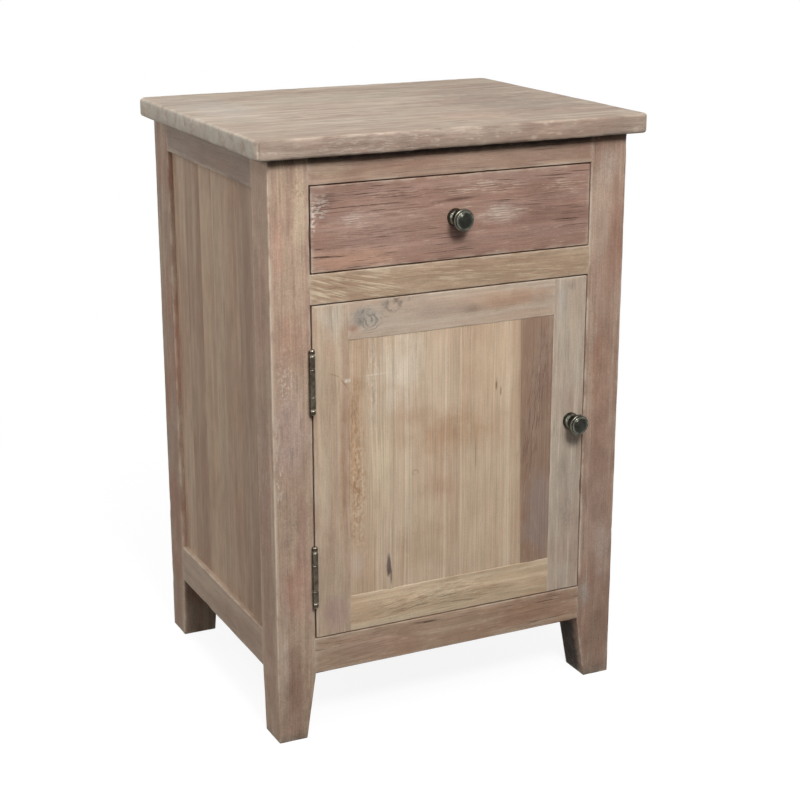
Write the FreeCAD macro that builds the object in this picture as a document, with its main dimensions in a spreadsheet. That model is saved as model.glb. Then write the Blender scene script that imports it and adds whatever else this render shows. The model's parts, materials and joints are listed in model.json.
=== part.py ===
import FreeCAD, Part, Sketcher
import math
import os
import re

# A nightstand of reclaimed boards: a leg-and-rail cabinet with a drawer over a framed door.
# Millimetres. +Z is up, the front faces -Y, and the origin lies on the floor under the middle of the box.

SIZES = (
    # Whole piece
    ("total_height", 700),
    ("body_width", 444),
    ("body_depth", 375),
    # Top
    ("top_thickness", 22),
    ("top_side_overhang", 18),
    ("top_front_overhang", 18),
    ("top_back_overhang", 3),
    ("top_corner_radius", 10),
    ("top_edge_radius", 3),
    ("top_board_one", 66),
    ("top_board_two", 98),
    ("top_board_three", 88),
    ("top_board_four", 96),
    ("top_board_five", 48),
    # Legs, tapered on their inner faces below the rails
    ("leg_width", 47),
    ("leg_depth", 48),
    ("front_foot_width", 35),
    ("back_foot_width", 43),
    ("foot_depth", 42),
    ("foot_height", 78),
    ("leg_edge_radius", 1.5),
    # Rails of the front, from the top down
    ("front_rail_thickness", 22),
    ("top_rail_height", 31.5),
    ("drawer_opening_height", 97),
    ("middle_rail_height", 33.5),
    ("bottom_rail_height", 43),
    ("floor_clearance", 80),
    # Rails of the sides and back
    ("side_rail_thickness", 22),
    ("side_top_rail_height", 38),
    ("side_bottom_rail_height", 46),
    ("back_rail_thickness", 22),
    ("back_top_rail_height", 38),
    ("back_bottom_rail_height", 46),
    # Mortise and tenon joints of the cabinet
    ("tenon_length", 20),
    ("tenon_thickness", 8),
    ("tenon_setback", 7),
    ("tenon_shoulder", 9),
    ("joint_clearance", 0.1),
    # Panels in their grooves
    ("side_panel_thickness", 10),
    ("side_panel_recess", 6.5),
    ("back_panel_thickness", 6),
    ("back_panel_recess", 8),
    ("panel_groove_depth", 6),
    ("panel_room", 0.3),
    ("side_board_one", 67),
    ("side_board_two", 49),
    ("side_board_three", 36),
    ("side_board_four", 41),
    ("side_board_five", 52),
    ("side_board_six", 45.4),
    # Cupboard floor and what carries it
    ("floor_thickness", 15),
    ("cleat_width", 18),
    ("cleat_height", 16),
    # Drawer runners, guides, kickers and stops
    ("runner_width", 26),
    ("runner_thickness", 18),
    ("guide_width", 12),
    ("guide_height", 15),
    ("kicker_width", 26),
    ("stop_width", 16),
    ("stop_length", 14),
    ("stop_height", 10),
    ("running_gap", 0.3),
    # Drawer
    ("drawer_gap", 1.5),
    ("drawer_front_thickness", 20),
    ("drawer_side_thickness", 12),
    ("drawer_side_height", 80),
    ("drawer_back_room", 23),
    ("drawer_back_thickness", 12),
    ("drawer_back_setback", 10),
    ("drawer_housing_depth", 4),
    ("drawer_bottom_thickness", 6),
    ("drawer_bottom_lift", 10),
    ("drawer_groove_depth", 5),
    ("dovetail_length", 14),
    ("dovetail_root", 12),
    ("dovetail_end", 16),
    # Door
    ("door_gap", 1.5),
    ("door_thickness", 20),
    ("door_stile_width", 43),
    ("door_top_rail_height", 43),
    ("door_bottom_rail_height", 44),
    ("door_tenon_length", 25),
    ("door_tenon_thickness", 7),
    ("door_tenon_shoulder", 10),
    ("door_panel_thickness", 13.5),
    ("door_panel_recess", 0.5),
    ("door_tongue_thickness", 6),
    ("door_tongue_setback", 7),
    ("door_board_one", 62),
    ("door_board_two", 84),
    ("door_board_three", 80),
    ("door_board_four", 46.4),
    # Knobs and the screws that hold them
    ("knob_reach", 27),
    ("knob_base_radius", 10),
    ("knob_base_thickness", 1.6),
    ("knob_collar_radius", 9.2),
    ("knob_neck_radius", 8),
    ("knob_neck_height", 12),
    ("knob_rim_radius", 11.8),
    ("knob_head_back", 18.2),
    ("knob_rim_thickness", 3.6),
    ("knob_ring_step", 1.2),
    ("knob_ring_thickness", 2.2),
    ("knob_collar_curve", 16),
    ("knob_flare_curve", 9),
    ("knob_rim_curve", 2.4),
    ("door_knob_inset", 17),
    ("door_knob_rise", 20.5),
    ("knob_screw_radius", 2),
    ("knob_screw_head_radius", 4),
    ("knob_screw_head_height", 2.4),
    ("knob_screw_engagement", 12),
    # Hinges: the barrel stands in front of the leg, the leaves lie in the gap
    ("hinge_top_inset", 84),
    ("hinge_bottom_inset", 76.5),
    ("hinge_barrel_radius", 3.5),
    ("hinge_barrel_clearance", 0.5),
    ("hinge_axis_offset", 1),
    ("hinge_end_knuckle", 15),
    ("hinge_middle_knuckle", 31.5),
    ("hinge_pin_radius", 1.6),
    ("hinge_pin_clearance", 0.06),
    ("hinge_leaf_width", 18),
    ("hinge_leaf_thickness", 1.2),
    ("hinge_screw_spacing", 21),
    ("finial_neck_radius", 2.8),
    ("finial_neck_height", 1.2),
    ("finial_ball_radius", 3.4),
    ("finial_ball_sink", 0.62),
    # Wood screws
    ("screw_head_radius", 2.6),
    ("screw_head_depth", 1.2),
    ("screw_radius", 1.4),
    ("screw_length", 13),
    ("screw_tip", 3),
    ("top_screw_head_radius", 4.2),
    ("top_screw_head_depth", 3),
    ("top_screw_radius", 2.2),
    ("top_screw_length", 44),
    ("top_screw_tip", 5),
    ("top_screw_inset", 70),
    ("screw_slot_width", 0.8),
    ("screw_slot_depth", 0.7),
    ("screw_clearance", 0.1),
    # Magnetic catch behind the door
    ("catch_inset", 114.5),
    ("catch_length", 42),
    ("catch_width", 13),
    ("catch_depth", 12),
    ("catch_screw_spacing", 32),
    ("catch_screw_length", 21),
    ("magnet_length", 20),
    ("magnet_width", 7),
    ("magnet_depth", 8),
    ("magnet_proud", 0.8),
    ("strike_length", 34),
    ("strike_width", 9),
    ("strike_thickness", 1.5),
    ("strike_screw_spacing", 27),
)

document = FreeCAD.newDocument("Nightstand")
sheet = document.addObject("Spreadsheet::Sheet", "Sizes")
for row, (alias, value) in enumerate(SIZES, start=1):
    sheet.set(f"A{row}", alias)
    sheet.set(f"B{row}", str(value))
    sheet.setAlias(f"B{row}", alias)
document.recompute()

# Planes and heights that several pieces share, as formulas on the sheet
FRONT = "(knob_reach - body_depth - top_back_overhang) / 2"
BACK = f"({FRONT} + body_depth)"
OPENING = "(body_width / 2 - leg_width)"
UNDER_TOP = "(total_height - top_thickness)"
DRAWER_CEILING = f"({UNDER_TOP} - top_rail_height)"
DRAWER_FLOOR = f"({DRAWER_CEILING} - drawer_opening_height)"
DOOR_CEILING = f"({DRAWER_FLOOR} - middle_rail_height)"
DOOR_SILL = "(floor_clearance + bottom_rail_height)"
SIDE_SILL = "(floor_clearance + side_bottom_rail_height)"
SIDE_CEILING = f"({UNDER_TOP} - side_top_rail_height)"
BACK_SILL = "(floor_clearance + back_bottom_rail_height)"
BACK_CEILING = f"({UNDER_TOP} - back_top_rail_height)"

DRAWER_LENGTH = "(body_depth - back_rail_thickness - drawer_back_room)"

DOME = "dome"
TAILS = 3
SAME = 0.001
LEFT, RIGHT = "left", "right"
SIDES = (LEFT, RIGHT)
X_AXIS = FreeCAD.Vector(1, 0, 0)
Y_AXIS = FreeCAD.Vector(0, 1, 0)
Z_AXIS = FreeCAD.Vector(0, 0, 1)
NAME = re.compile(r"[a-z][a-z_]*")

nodes = []


def formula(text):
    """A formula on the sheet's names, as an expression of the document."""
    return NAME.sub(lambda name: "Sizes." + name.group(), text)


def bind(item, quantity, text):
    item.setExpression(quantity, formula(text))


def worth(text):
    """The present value of a formula."""
    return float(sheet.evalExpression(formula(text)))


def put(item, place, base=("0", "0", "0")):
    """Bind an item's position to a place, counted from a base point."""
    for axis, at, origin in zip("xyz", place, base):
        bind(item, f"Placement.Base.{axis}", f"({at}) - ({origin})")


def across(side, inset, width):
    """Low x of a box of this width that starts this far in from the legs' outer face."""
    if side == LEFT:
        return f"({inset}) - body_width / 2"
    return f"body_width / 2 - ({inset}) - ({width})"


def grown(box, room):
    """A box with this much room added all round."""
    corner, size = box
    return [f"{low} - {room}" for low in corner], [f"{length} + 2 * {room}" for length in size]


class Piece:
    """One piece of the nightstand: a body that stands at its own corner, worked in the shared frame."""

    def __init__(self, label, corner, kept=True):
        self.label = label
        self.corner = corner
        self.body = document.addObject("PartDesign::Body", label)
        put(self.body, corner)
        if kept:
            nodes.append(self.body)

    def feature(self, kind, corner, sizes, turn=None):
        """Add a primitive of this kind at a place in the shared frame."""
        item = self.body.newObject(f"PartDesign::{kind}", f"{self.label}_{kind}")
        if turn:
            item.Placement = FreeCAD.Placement(FreeCAD.Vector(), turn)
        for quantity, text in sizes.items():
            bind(item, quantity, text)
        put(item, corner, self.corner)

    def block(self, corner, size, kind="AdditiveBox"):
        self.feature(kind, corner, dict(zip(("Length", "Width", "Height"), size)))

    def recess(self, corner, size):
        self.block(corner, size, "SubtractiveBox")

    def rod(self, start, direction, radius, length, kind="AdditiveCylinder"):
        turn = FreeCAD.Rotation(Z_AXIS, direction)
        self.feature(kind, start, {"Radius": radius, "Height": length}, turn)

    def drill(self, start, direction, radius, depth):
        self.rod(start, direction, radius, depth, "SubtractiveCylinder")

    def countersink(self, start, direction, mouth, throat, depth):
        turn = FreeCAD.Rotation(Z_AXIS, direction)
        self.feature("SubtractiveCone", start, {"Radius1": mouth, "Radius2": throat, "Height": depth}, turn)

    def ball(self, centre, radius):
        self.feature("AdditiveSphere", centre, {"Radius": radius})

    def tail(self, kind, corner, thickness, room):
        """A dovetail that points to -Y and widens from its root to its end."""
        turn = FreeCAD.Rotation(Z_AXIS, -Y_AXIS, X_AXIS, "ZXY")
        sizes = {
            "Xmin": f"-dovetail_root / 2 - {room}",
            "Xmax": f"dovetail_root / 2 + {room}",
            "Ymin": "0",
            "Ymax": f"dovetail_length + {room}",
            "Zmin": "0",
            "Zmax": thickness,
            "X2min": f"-dovetail_end / 2 - {room}",
            "X2max": f"dovetail_end / 2 + {room}",
            "Z2min": "0",
            "Z2max": thickness,
        }
        self.feature(kind, corner, sizes, turn)

    def ease(self, radius, wanted):
        """Round the edges that a test picks out."""
        document.recompute()
        base = self.body.Tip
        names = [f"Edge{n}" for n, edge in enumerate(base.Shape.Edges, start=1) if wanted(edge)]
        fillet = self.body.newObject("PartDesign::Fillet", f"{self.label}_ease")
        fillet.Base = (base, names)
        bind(fillet, "Radius", radius)

    def turn(self, outline):
        """Turn a half outline about the body's Y axis.

        An outline point is (radius, height), or (radius, height, curve) where an arc of that radius
        runs on to the next point. A curve that starts with a minus hollows the outline, and the curve
        named DOME is an arc whose centre lies on the axis.
        """
        sketch = self.body.newObject("Sketcher::SketchObject", f"{self.label}_outline")
        plane = next(item for item in self.body.Origin.OriginFeatures if item.Role == "XY_Plane")
        sketch.AttachmentSupport = [(plane, "")]
        sketch.MapMode = "FlatFace"
        draw_outline(sketch, outline)
        turned = self.body.newObject("PartDesign::Revolution", f"{self.label}_turned")
        turned.Profile = sketch
        turned.ReferenceAxis = (sketch, ["V_Axis"])
        turned.Angle = 360


def is_upright(edge):
    return edge.BoundBox.XLength + edge.BoundBox.YLength < SAME


def draw_outline(sketch, outline):
    """Draw a closed outline of lines and arcs whose points are bound to the sheet."""
    points = [FreeCAD.Vector(worth(entry[0]), worth(entry[1]), 0) for entry in outline]
    ends = []
    for index, entry in enumerate(outline):
        start, end = points[index], points[(index + 1) % len(points)]
        if len(entry) == 2:
            sketch.addGeometry(Part.LineSegment(start, end), False)
            ends.append((1, 2))
            continue
        hollow = entry[2].startswith("-")
        chord = end - start
        if entry[2] == DOME:
            curve = chord.Length ** 2 / (2 * chord.y)
        else:
            curve = worth(entry[2].lstrip("-"))
        rise = curve - math.sqrt(curve ** 2 - chord.Length ** 2 / 4)
        aside = FreeCAD.Vector(chord.y, -chord.x, 0).normalize() * (-rise if hollow else rise)
        sketch.addGeometry(Part.Arc(start, (start + end) / 2 + aside, end), False)
        ends.append((2, 1) if hollow else (1, 2))
    for index, entry in enumerate(outline):
        following = (index + 1) % len(outline)
        first, last = ends[index]
        sketch.addConstraint(
            Sketcher.Constraint("Coincident", index, last, following, ends[following][0]))
        for kind, text, axis_line, at in (
                ("DistanceX", entry[0], -2, points[index].x), ("DistanceY", entry[1], -1, points[index].y)):
            if text == "0":
                sketch.addConstraint(Sketcher.Constraint("PointOnObject", index, first, axis_line))
                continue
            number = sketch.addConstraint(Sketcher.Constraint(kind, -1, 1, index, first, at))
            bind(sketch, f"Constraints[{number}]", text)
        if len(entry) == 3 and entry[2] == DOME:
            sketch.addConstraint(Sketcher.Constraint("PointOnObject", index, 3, -2))
        elif len(entry) == 3:
            text = entry[2].lstrip("-")
            number = sketch.addConstraint(Sketcher.Constraint("Radius", index, worth(text)))
            bind(sketch, f"Constraints[{number}]", text)


def group(label, members):
    """Several solids of one kind, kept together as one node."""
    bundle = document.addObject("Part::Compound", label)
    bundle.Links = members
    nodes.append(bundle)


def copies(label, pattern, places):
    """One turned piece repeated at each (point, direction)."""
    members = []
    for point, direction in places:
        copy = document.addObject("App::Link", f"{label}_copy")
        copy.LinkedObject = pattern.body
        copy.Placement = FreeCAD.Placement(FreeCAD.Vector(), FreeCAD.Rotation(Y_AXIS, direction))
        put(copy, point)
        members.append(copy)
    group(label, members)


def glued_up(label, blank, corner, size, axis, widths):
    """A panel glued up from boards of these widths along an axis, which share any width left over."""
    share = f"({size[axis]} - {' - '.join(widths)}) / {len(widths)}"
    strips = []
    start = "0"
    for width in widths:
        strip_corner, strip_size = list(corner), list(size)
        strip_corner[axis] = f"{corner[axis]} + {start}"
        strip_size[axis] = f"{width} + {share}"
        box = document.addObject("Part::Box", f"{label}_strip")
        put(box, strip_corner)
        for quantity, text in zip(("Length", "Width", "Height"), strip_size):
            bind(box, quantity, text)
        strip = document.addObject("Part::Common", f"{label}_board")
        strip.Base = blank.body
        strip.Tool = box
        strips.append(strip)
        start = f"{start} + {strip_size[axis]}"
    group(label, strips)


# Rails: low edge and height of each
FRONT_RAILS = {
    "front_top_rail": (DRAWER_CEILING, "top_rail_height"),
    "front_middle_rail": (DOOR_CEILING, "middle_rail_height"),
    "front_bottom_rail": ("floor_clearance", "bottom_rail_height"),
}
BACK_RAILS = {
    "back_top_rail": (BACK_CEILING, "back_top_rail_height"),
    "back_bottom_rail": ("floor_clearance", "back_bottom_rail_height"),
}
SIDE_RAILS = {
    "side_top_rail": (SIDE_CEILING, "side_top_rail_height"),
    "side_bottom_rail": ("floor_clearance", "side_bottom_rail_height"),
}
FRONT_TENON_PLACE = f"{FRONT} + tenon_setback"
BACK_TENON_PLACE = f"{BACK} - tenon_setback - tenon_thickness"


def cross_tenon(side, place, low, height):
    """Tenon of a front or back rail in a leg's inner face."""
    corner = (across(side, "leg_width - tenon_length", "tenon_length"), place, f"{low} + tenon_shoulder")
    return corner, ("tenon_length", "tenon_thickness", f"{height} - 2 * tenon_shoulder")


def side_tenon(side, end, low, height):
    """Tenon of a side rail in a front or back leg."""
    place = f"{FRONT} + leg_depth - tenon_length" if end == "front" else f"{BACK} - leg_depth"
    corner = (across(side, "tenon_setback", "tenon_thickness"), place, f"{low} + tenon_shoulder")
    return corner, ("tenon_thickness", "tenon_length", f"{height} - 2 * tenon_shoulder")


def side_panel_box(side):
    corner = (
        across(side, "side_panel_recess", "side_panel_thickness"),
        f"{FRONT} + leg_depth - panel_groove_depth",
        f"{SIDE_SILL} - panel_groove_depth",
    )
    size = (
        "side_panel_thickness",
        "body_depth - 2 * leg_depth + 2 * panel_groove_depth",
        f"{SIDE_CEILING} - {SIDE_SILL} + 2 * panel_groove_depth",
    )
    return corner, size


def back_panel_box():
    corner = (
        f"-{OPENING} - panel_groove_depth",
        f"{BACK} - back_panel_recess - back_panel_thickness",
        f"{BACK_SILL} - panel_groove_depth",
    )
    size = (
        f"2 * {OPENING} + 2 * panel_groove_depth",
        "back_panel_thickness",
        f"{BACK_CEILING} - {BACK_SILL} + 2 * panel_groove_depth",
    )
    return corner, size


# Places of the hinges, knobs and catch
DOOR_HALF = f"({OPENING} - door_gap)"
DOOR_LOW = f"({DOOR_SILL} + door_gap)"
DOOR_HIGH = f"({DOOR_CEILING} - door_gap)"
DOOR_BACK = f"({FRONT} + door_thickness)"
HINGE_X = f"(-{OPENING} - hinge_axis_offset)"
HINGE_Y = f"({FRONT} - hinge_barrel_radius - hinge_barrel_clearance)"
BARREL = "(2 * hinge_end_knuckle + hinge_middle_knuckle)"
HINGES = {
    "hinge_upper": f"({DOOR_HIGH} - hinge_top_inset - {BARREL} / 2)",
    "hinge_lower": f"({DOOR_LOW} + hinge_bottom_inset - {BARREL} / 2)",
}
LEAF_FRONT = f"({FRONT} + running_gap)"
HINGE_SCREW_STEPS = (-1, 0, 1)
DOOR_KNOB_X = f"({DOOR_HALF} - door_knob_inset)"
DOOR_KNOB_Z = f"(({DOOR_LOW} + {DOOR_HIGH}) / 2 + door_knob_rise)"
DRAWER_MIDDLE = f"({DRAWER_FLOOR} + drawer_opening_height / 2)"
STRIKE_X = f"({DOOR_HALF} - strike_width)"
CATCH_Y = f"({DOOR_BACK} + strike_thickness + running_gap + magnet_proud)"
CATCH_Z = f"({DOOR_HIGH} - catch_inset)"
KICKER_X = f"({OPENING} - kicker_width / 2)"


def hinge_screw_heights(low):
    return [f"{low} + {BARREL} / 2 + {step} * hinge_screw_spacing" for step in HINGE_SCREW_STEPS]


def frame_screw_places():
    """Heads of the screws that hold the frame leaves to the left front leg."""
    y = f"{LEAF_FRONT} + hinge_leaf_width / 2"
    return [((f"-{OPENING}", y, z), -X_AXIS) for low in HINGES.values() for z in hinge_screw_heights(low)]


def door_screw_places():
    """Heads of the screws that hold the door leaves to the left stile."""
    y = f"{LEAF_FRONT} + hinge_leaf_width / 2"
    return [((f"-{DOOR_HALF}", y, z), X_AXIS) for low in HINGES.values() for z in hinge_screw_heights(low)]


def catch_screw_places():
    x, y = f"{OPENING} - catch_width", f"{CATCH_Y} + catch_depth / 2"
    return [((x, y, f"{CATCH_Z} + {step} * catch_screw_spacing / 2"), X_AXIS) for step in (-1, 1)]


def strike_screw_places():
    x, y = f"{STRIKE_X} + strike_width / 2", f"{DOOR_BACK} + strike_thickness"
    return [((x, y, f"{CATCH_Z} + {step} * strike_screw_spacing / 2"), -Y_AXIS) for step in (-1, 1)]


def top_screw_places():
    """Heads of the screws that go up through the kickers into the top."""
    places = []
    for x in (f"-{KICKER_X}", KICKER_X):
        for y in (f"{FRONT} + top_screw_inset", f"{BACK} - top_screw_inset"):
            places.append(((x, y, DRAWER_CEILING), Z_AXIS))
    return places


def screw_hole(piece, place, length="screw_length", radius="screw_radius"):
    point, direction = place
    piece.drill(point, direction, f"{radius} + screw_clearance", f"{length} + screw_clearance")


def leaf_recess(side_x, low):
    """Room for a hinge leaf, let in flush and open to the front."""
    return (side_x, FRONT, low), ("hinge_leaf_thickness", "hinge_leaf_width + 2 * running_gap", BARREL)


def make_leg(side, end):
    foot_width = f"{end}_foot_width"
    place = FRONT if end == "front" else f"{BACK} - leg_depth"
    corner = (across(side, "0", "leg_width"), place, "0")
    leg = Piece(f"leg_{end}_{side}", corner)
    leg.block((corner[0], place, "foot_height"), ("leg_width", "leg_depth", f"{UNDER_TOP} - foot_height"))
    low_x = "0" if side == LEFT else f"leg_width - {foot_width}"
    low_z = "leg_depth - foot_depth" if end == "front" else "0"
    foot = {
        "Xmin": low_x,
        "Xmax": f"{low_x} + {foot_width}",
        "Ymin": "0",
        "Ymax": "foot_height",
        "Zmin": low_z,
        "Zmax": f"{low_z} + foot_depth",
        "X2min": "0",
        "X2max": "leg_width",
        "Z2min": "0",
        "Z2max": "leg_depth",
    }
    upright = FreeCAD.Rotation(X_AXIS, 90)
    leg.feature("AdditiveWedge", (corner[0], f"{place} + leg_depth", "0"), foot, upright)
    foot_level = worth("leg_edge_radius")
    leg.ease("leg_edge_radius", lambda edge: is_upright(edge) and edge.BoundBox.ZMin < foot_level)
    rails = FRONT_RAILS if end == "front" else BACK_RAILS
    tenon_place = FRONT_TENON_PLACE if end == "front" else BACK_TENON_PLACE
    for low, height in rails.values():
        leg.recess(*grown(cross_tenon(side, tenon_place, low, height), "joint_clearance"))
    for low, height in SIDE_RAILS.values():
        leg.recess(*grown(side_tenon(side, end, low, height), "joint_clearance"))
    leg.recess(*grown(side_panel_box(side), "joint_clearance"))
    if end == "back":
        leg.recess(*grown(back_panel_box(), "joint_clearance"))
    return leg


def make_legs():
    for side in SIDES:
        make_leg(side, "back")
    left = make_leg(LEFT, "front")
    for low in HINGES.values():
        left.recess(*leaf_recess(f"-{OPENING} - hinge_leaf_thickness", low))
    for place in frame_screw_places():
        screw_hole(left, place)
    right = make_leg(RIGHT, "front")
    for place in catch_screw_places():
        screw_hole(right, place, "catch_screw_length")


def make_cross_rails():
    kinds = (
        (FRONT_RAILS, FRONT, "front_rail_thickness", FRONT_TENON_PLACE),
        (BACK_RAILS, f"{BACK} - back_rail_thickness", "back_rail_thickness", BACK_TENON_PLACE),
    )
    for rails, place, thickness, tenon_place in kinds:
        for label, (low, height) in rails.items():
            corner = (f"-{OPENING} - tenon_length", place, low)
            rail = Piece(label, corner)
            rail.block((f"-{OPENING}", place, low), (f"2 * {OPENING}", thickness, height))
            for side in SIDES:
                rail.block(*cross_tenon(side, tenon_place, low, height))
            if rails is BACK_RAILS:
                rail.recess(*grown(back_panel_box(), "joint_clearance"))


def make_side_rails():
    for side in SIDES:
        for label, (low, height) in SIDE_RAILS.items():
            x = across(side, "0", "side_rail_thickness")
            corner = (x, f"{FRONT} + leg_depth - tenon_length", low)
            rail = Piece(f"{label}_{side}", corner)
            rail.block(
                (x, f"{FRONT} + leg_depth", low),
                ("side_rail_thickness", "body_depth - 2 * leg_depth", height))
            for end in ("front", "back"):
                rail.block(*side_tenon(side, end, low, height))
            rail.recess(*grown(side_panel_box(side), "joint_clearance"))


def make_panels():
    for side in SIDES:
        corner, size = grown(side_panel_box(side), "-panel_room")
        corner[0], size[0] = side_panel_box(side)[0][0], "side_panel_thickness"
        blank = Piece(f"side_panel_blank_{side}", corner, kept=False)
        blank.block(corner, size)
        widths = [f"side_board_{count}" for count in ("one", "two", "three", "four", "five", "six")]
        glued_up(f"side_panel_{side}", blank, corner, size, 1, widths)
    corner, size = grown(back_panel_box(), "-panel_room")
    corner[1], size[1] = back_panel_box()[0][1], "back_panel_thickness"
    Piece("back_panel", corner).block(corner, size)


def make_top():
    corner = (
        "-body_width / 2 - top_side_overhang",
        f"{FRONT} - top_front_overhang",
        UNDER_TOP,
    )
    size = (
        "body_width + 2 * top_side_overhang",
        "body_depth + top_front_overhang + top_back_overhang",
        "top_thickness",
    )
    blank = Piece("top_blank", corner, kept=False)
    blank.block(corner, size)
    blank.ease("top_corner_radius", is_upright)
    blank.ease("top_edge_radius", lambda edge: not is_upright(edge))
    for place in top_screw_places():
        screw_hole(blank, place, "top_screw_length", "top_screw_radius")
    widths = [f"top_board_{count}" for count in ("one", "two", "three", "four", "five")]
    glued_up("top_board", blank, corner, size, 1, widths)


def notch_for_legs(board, inset, width, low, height):
    """Cut a board away where it passes the legs, beyond the openings' width."""
    for side in SIDES:
        for place in (FRONT, f"{BACK} - leg_depth"):
            board.recess((across(side, inset, width), place, low), (width, "leg_depth", height))


def make_cupboard_floor():
    low = f"{DOOR_SILL} - floor_thickness"
    half = "(body_width / 2 - side_rail_thickness)"
    depth = "body_depth - front_rail_thickness - back_rail_thickness"
    corner = (f"-{half}", f"{FRONT} + front_rail_thickness", low)
    board = Piece("cabinet_floor", corner)
    board.block(corner, (f"2 * {half}", depth, "floor_thickness"))
    notch_for_legs(board, "0", "leg_width", low, "floor_thickness")
    for side in SIDES:
        corner = (
            across(side, "side_rail_thickness", "cleat_width"),
            f"{FRONT} + leg_depth",
            f"{low} - cleat_height",
        )
        cleat = Piece(f"floor_cleat_{side}", corner)
        cleat.block(corner, ("cleat_width", "body_depth - 2 * leg_depth", "cleat_height"))


def make_drawer_ways():
    """Runners under the drawer, guides beside it, kickers over it and stops behind it."""
    depth = "body_depth - front_rail_thickness - back_rail_thickness"
    behind_rail = f"{FRONT} + front_rail_thickness"
    panel_inside = "(side_panel_recess + side_panel_thickness)"
    for side in SIDES:
        low = f"{DRAWER_FLOOR} - runner_thickness"
        width = f"(leg_width + runner_width - {panel_inside})"
        corner = (across(side, panel_inside, width), behind_rail, low)
        runner = Piece(f"drawer_runner_{side}", corner)
        runner.block(corner, (width, depth, "runner_thickness"))
        notch_for_legs(runner, "0", "leg_width", low, "runner_thickness")

        guide_x = across(side, "leg_width - guide_width", "guide_width")
        corner = (guide_x, f"{FRONT} + leg_depth", DRAWER_FLOOR)
        guide = Piece(f"drawer_guide_{side}", corner)
        guide.block(corner, ("guide_width", "body_depth - 2 * leg_depth", "guide_height"))

        corner = (across(side, "leg_width", "kicker_width"), behind_rail, DRAWER_CEILING)
        kicker = Piece(f"drawer_kicker_{side}", corner)
        kicker.block(corner, ("kicker_width", depth, "top_rail_height"))
        for point, direction in top_screw_places():
            if point[0].startswith("-") == (side == LEFT):
                kicker.drill(point, direction, "top_screw_radius + screw_clearance", "top_rail_height")
                kicker.countersink(
                    point, direction, "top_screw_head_radius + screw_clearance",
                    "top_screw_radius + screw_clearance", "top_screw_head_depth")

        corner = (
            across(side, "leg_width", "stop_width"), f"{FRONT} + {DRAWER_LENGTH} + running_gap", DRAWER_FLOOR)
        stop = Piece(f"drawer_stop_{side}", corner)
        stop.block(corner, ("stop_width", "stop_length", "stop_height"))


# The drawer: half-blind dovetails at the front, the back housed in the sides, the bottom in grooves
BOX_LOW = f"({DRAWER_FLOOR} + running_gap)"
DRAWER_SIDE_INSET = "(leg_width + drawer_gap)"
TAIL_ROOT = f"({FRONT} + drawer_front_thickness)"


def tail_heights():
    """Middles of the tails, spread evenly over a drawer side."""
    return [f"{BOX_LOW} + {2 * tail + 1} * drawer_side_height / {2 * TAILS}" for tail in range(TAILS)]


def drawer_bottom_box():
    """The bottom board, which runs into grooves in the front and sides and under the back."""
    half = f"({OPENING} - drawer_gap - drawer_side_thickness + drawer_groove_depth)"
    corner = (
        f"-{half}", f"{TAIL_ROOT} - drawer_groove_depth", f"{BOX_LOW} + drawer_bottom_lift")
    size = (
        f"2 * {half}",
        f"{DRAWER_LENGTH} - drawer_front_thickness + drawer_groove_depth - drawer_back_setback",
        "drawer_bottom_thickness",
    )
    return corner, size


def drawer_back_box():
    half = f"({OPENING} - drawer_gap - drawer_side_thickness + drawer_housing_depth)"
    low = f"{BOX_LOW} + drawer_bottom_lift + drawer_bottom_thickness"
    corner = (
        f"-{half}", f"{FRONT} + {DRAWER_LENGTH} - drawer_back_setback - drawer_back_thickness", low)
    size = (
        f"2 * {half}", "drawer_back_thickness",
        "drawer_side_height - drawer_bottom_lift - drawer_bottom_thickness")
    return corner, size


def make_drawer():
    half = f"({OPENING} - drawer_gap)"
    corner = (f"-{half}", FRONT, f"{DRAWER_FLOOR} + drawer_gap")
    front = Piece("drawer_front", corner)
    front.block(corner, (f"2 * {half}", "drawer_front_thickness", "drawer_opening_height - 2 * drawer_gap"))
    for side in SIDES:
        tail_x = across(side, DRAWER_SIDE_INSET, "drawer_side_thickness")
        socket_width = "drawer_side_thickness + joint_clearance"
        socket_x = across(side, DRAWER_SIDE_INSET, socket_width)
        for height in tail_heights():
            place = (socket_x, TAIL_ROOT, height)
            front.tail("SubtractiveWedge", place, socket_width, "joint_clearance")
        corner = (tail_x, f"{TAIL_ROOT} - dovetail_length", BOX_LOW)
        board = Piece(f"drawer_side_{side}", corner)
        length = f"{DRAWER_LENGTH} - drawer_front_thickness"
        board.block((tail_x, TAIL_ROOT, BOX_LOW), ("drawer_side_thickness", length, "drawer_side_height"))
        for height in tail_heights():
            board.tail("AdditiveWedge", (tail_x, TAIL_ROOT, height), "drawer_side_thickness", "0")
        board.recess(*grown(drawer_bottom_box(), "joint_clearance"))
        board.recess(*grown(drawer_back_box(), "joint_clearance"))
    front.recess(*grown(drawer_bottom_box(), "joint_clearance"))
    front.drill(
        ("0", FRONT, DRAWER_MIDDLE), Y_AXIS, "knob_screw_radius + screw_clearance", "drawer_front_thickness")
    for label, box in (("drawer_back", drawer_back_box()), ("drawer_bottom", drawer_bottom_box())):
        Piece(label, box[0]).block(*box)


# The door: stiles the full height, rails tenoned into them, a tongued panel held in grooves
PANEL_HALF = f"({DOOR_HALF} - door_stile_width)"
PANEL_LOW = f"({DOOR_LOW} + door_bottom_rail_height)"
PANEL_HIGH = f"({DOOR_HIGH} - door_top_rail_height)"
DOOR_RAILS = {
    "door_rail_top": (PANEL_HIGH, "door_top_rail_height"),
    "door_rail_bottom": (DOOR_LOW, "door_bottom_rail_height"),
}


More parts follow.
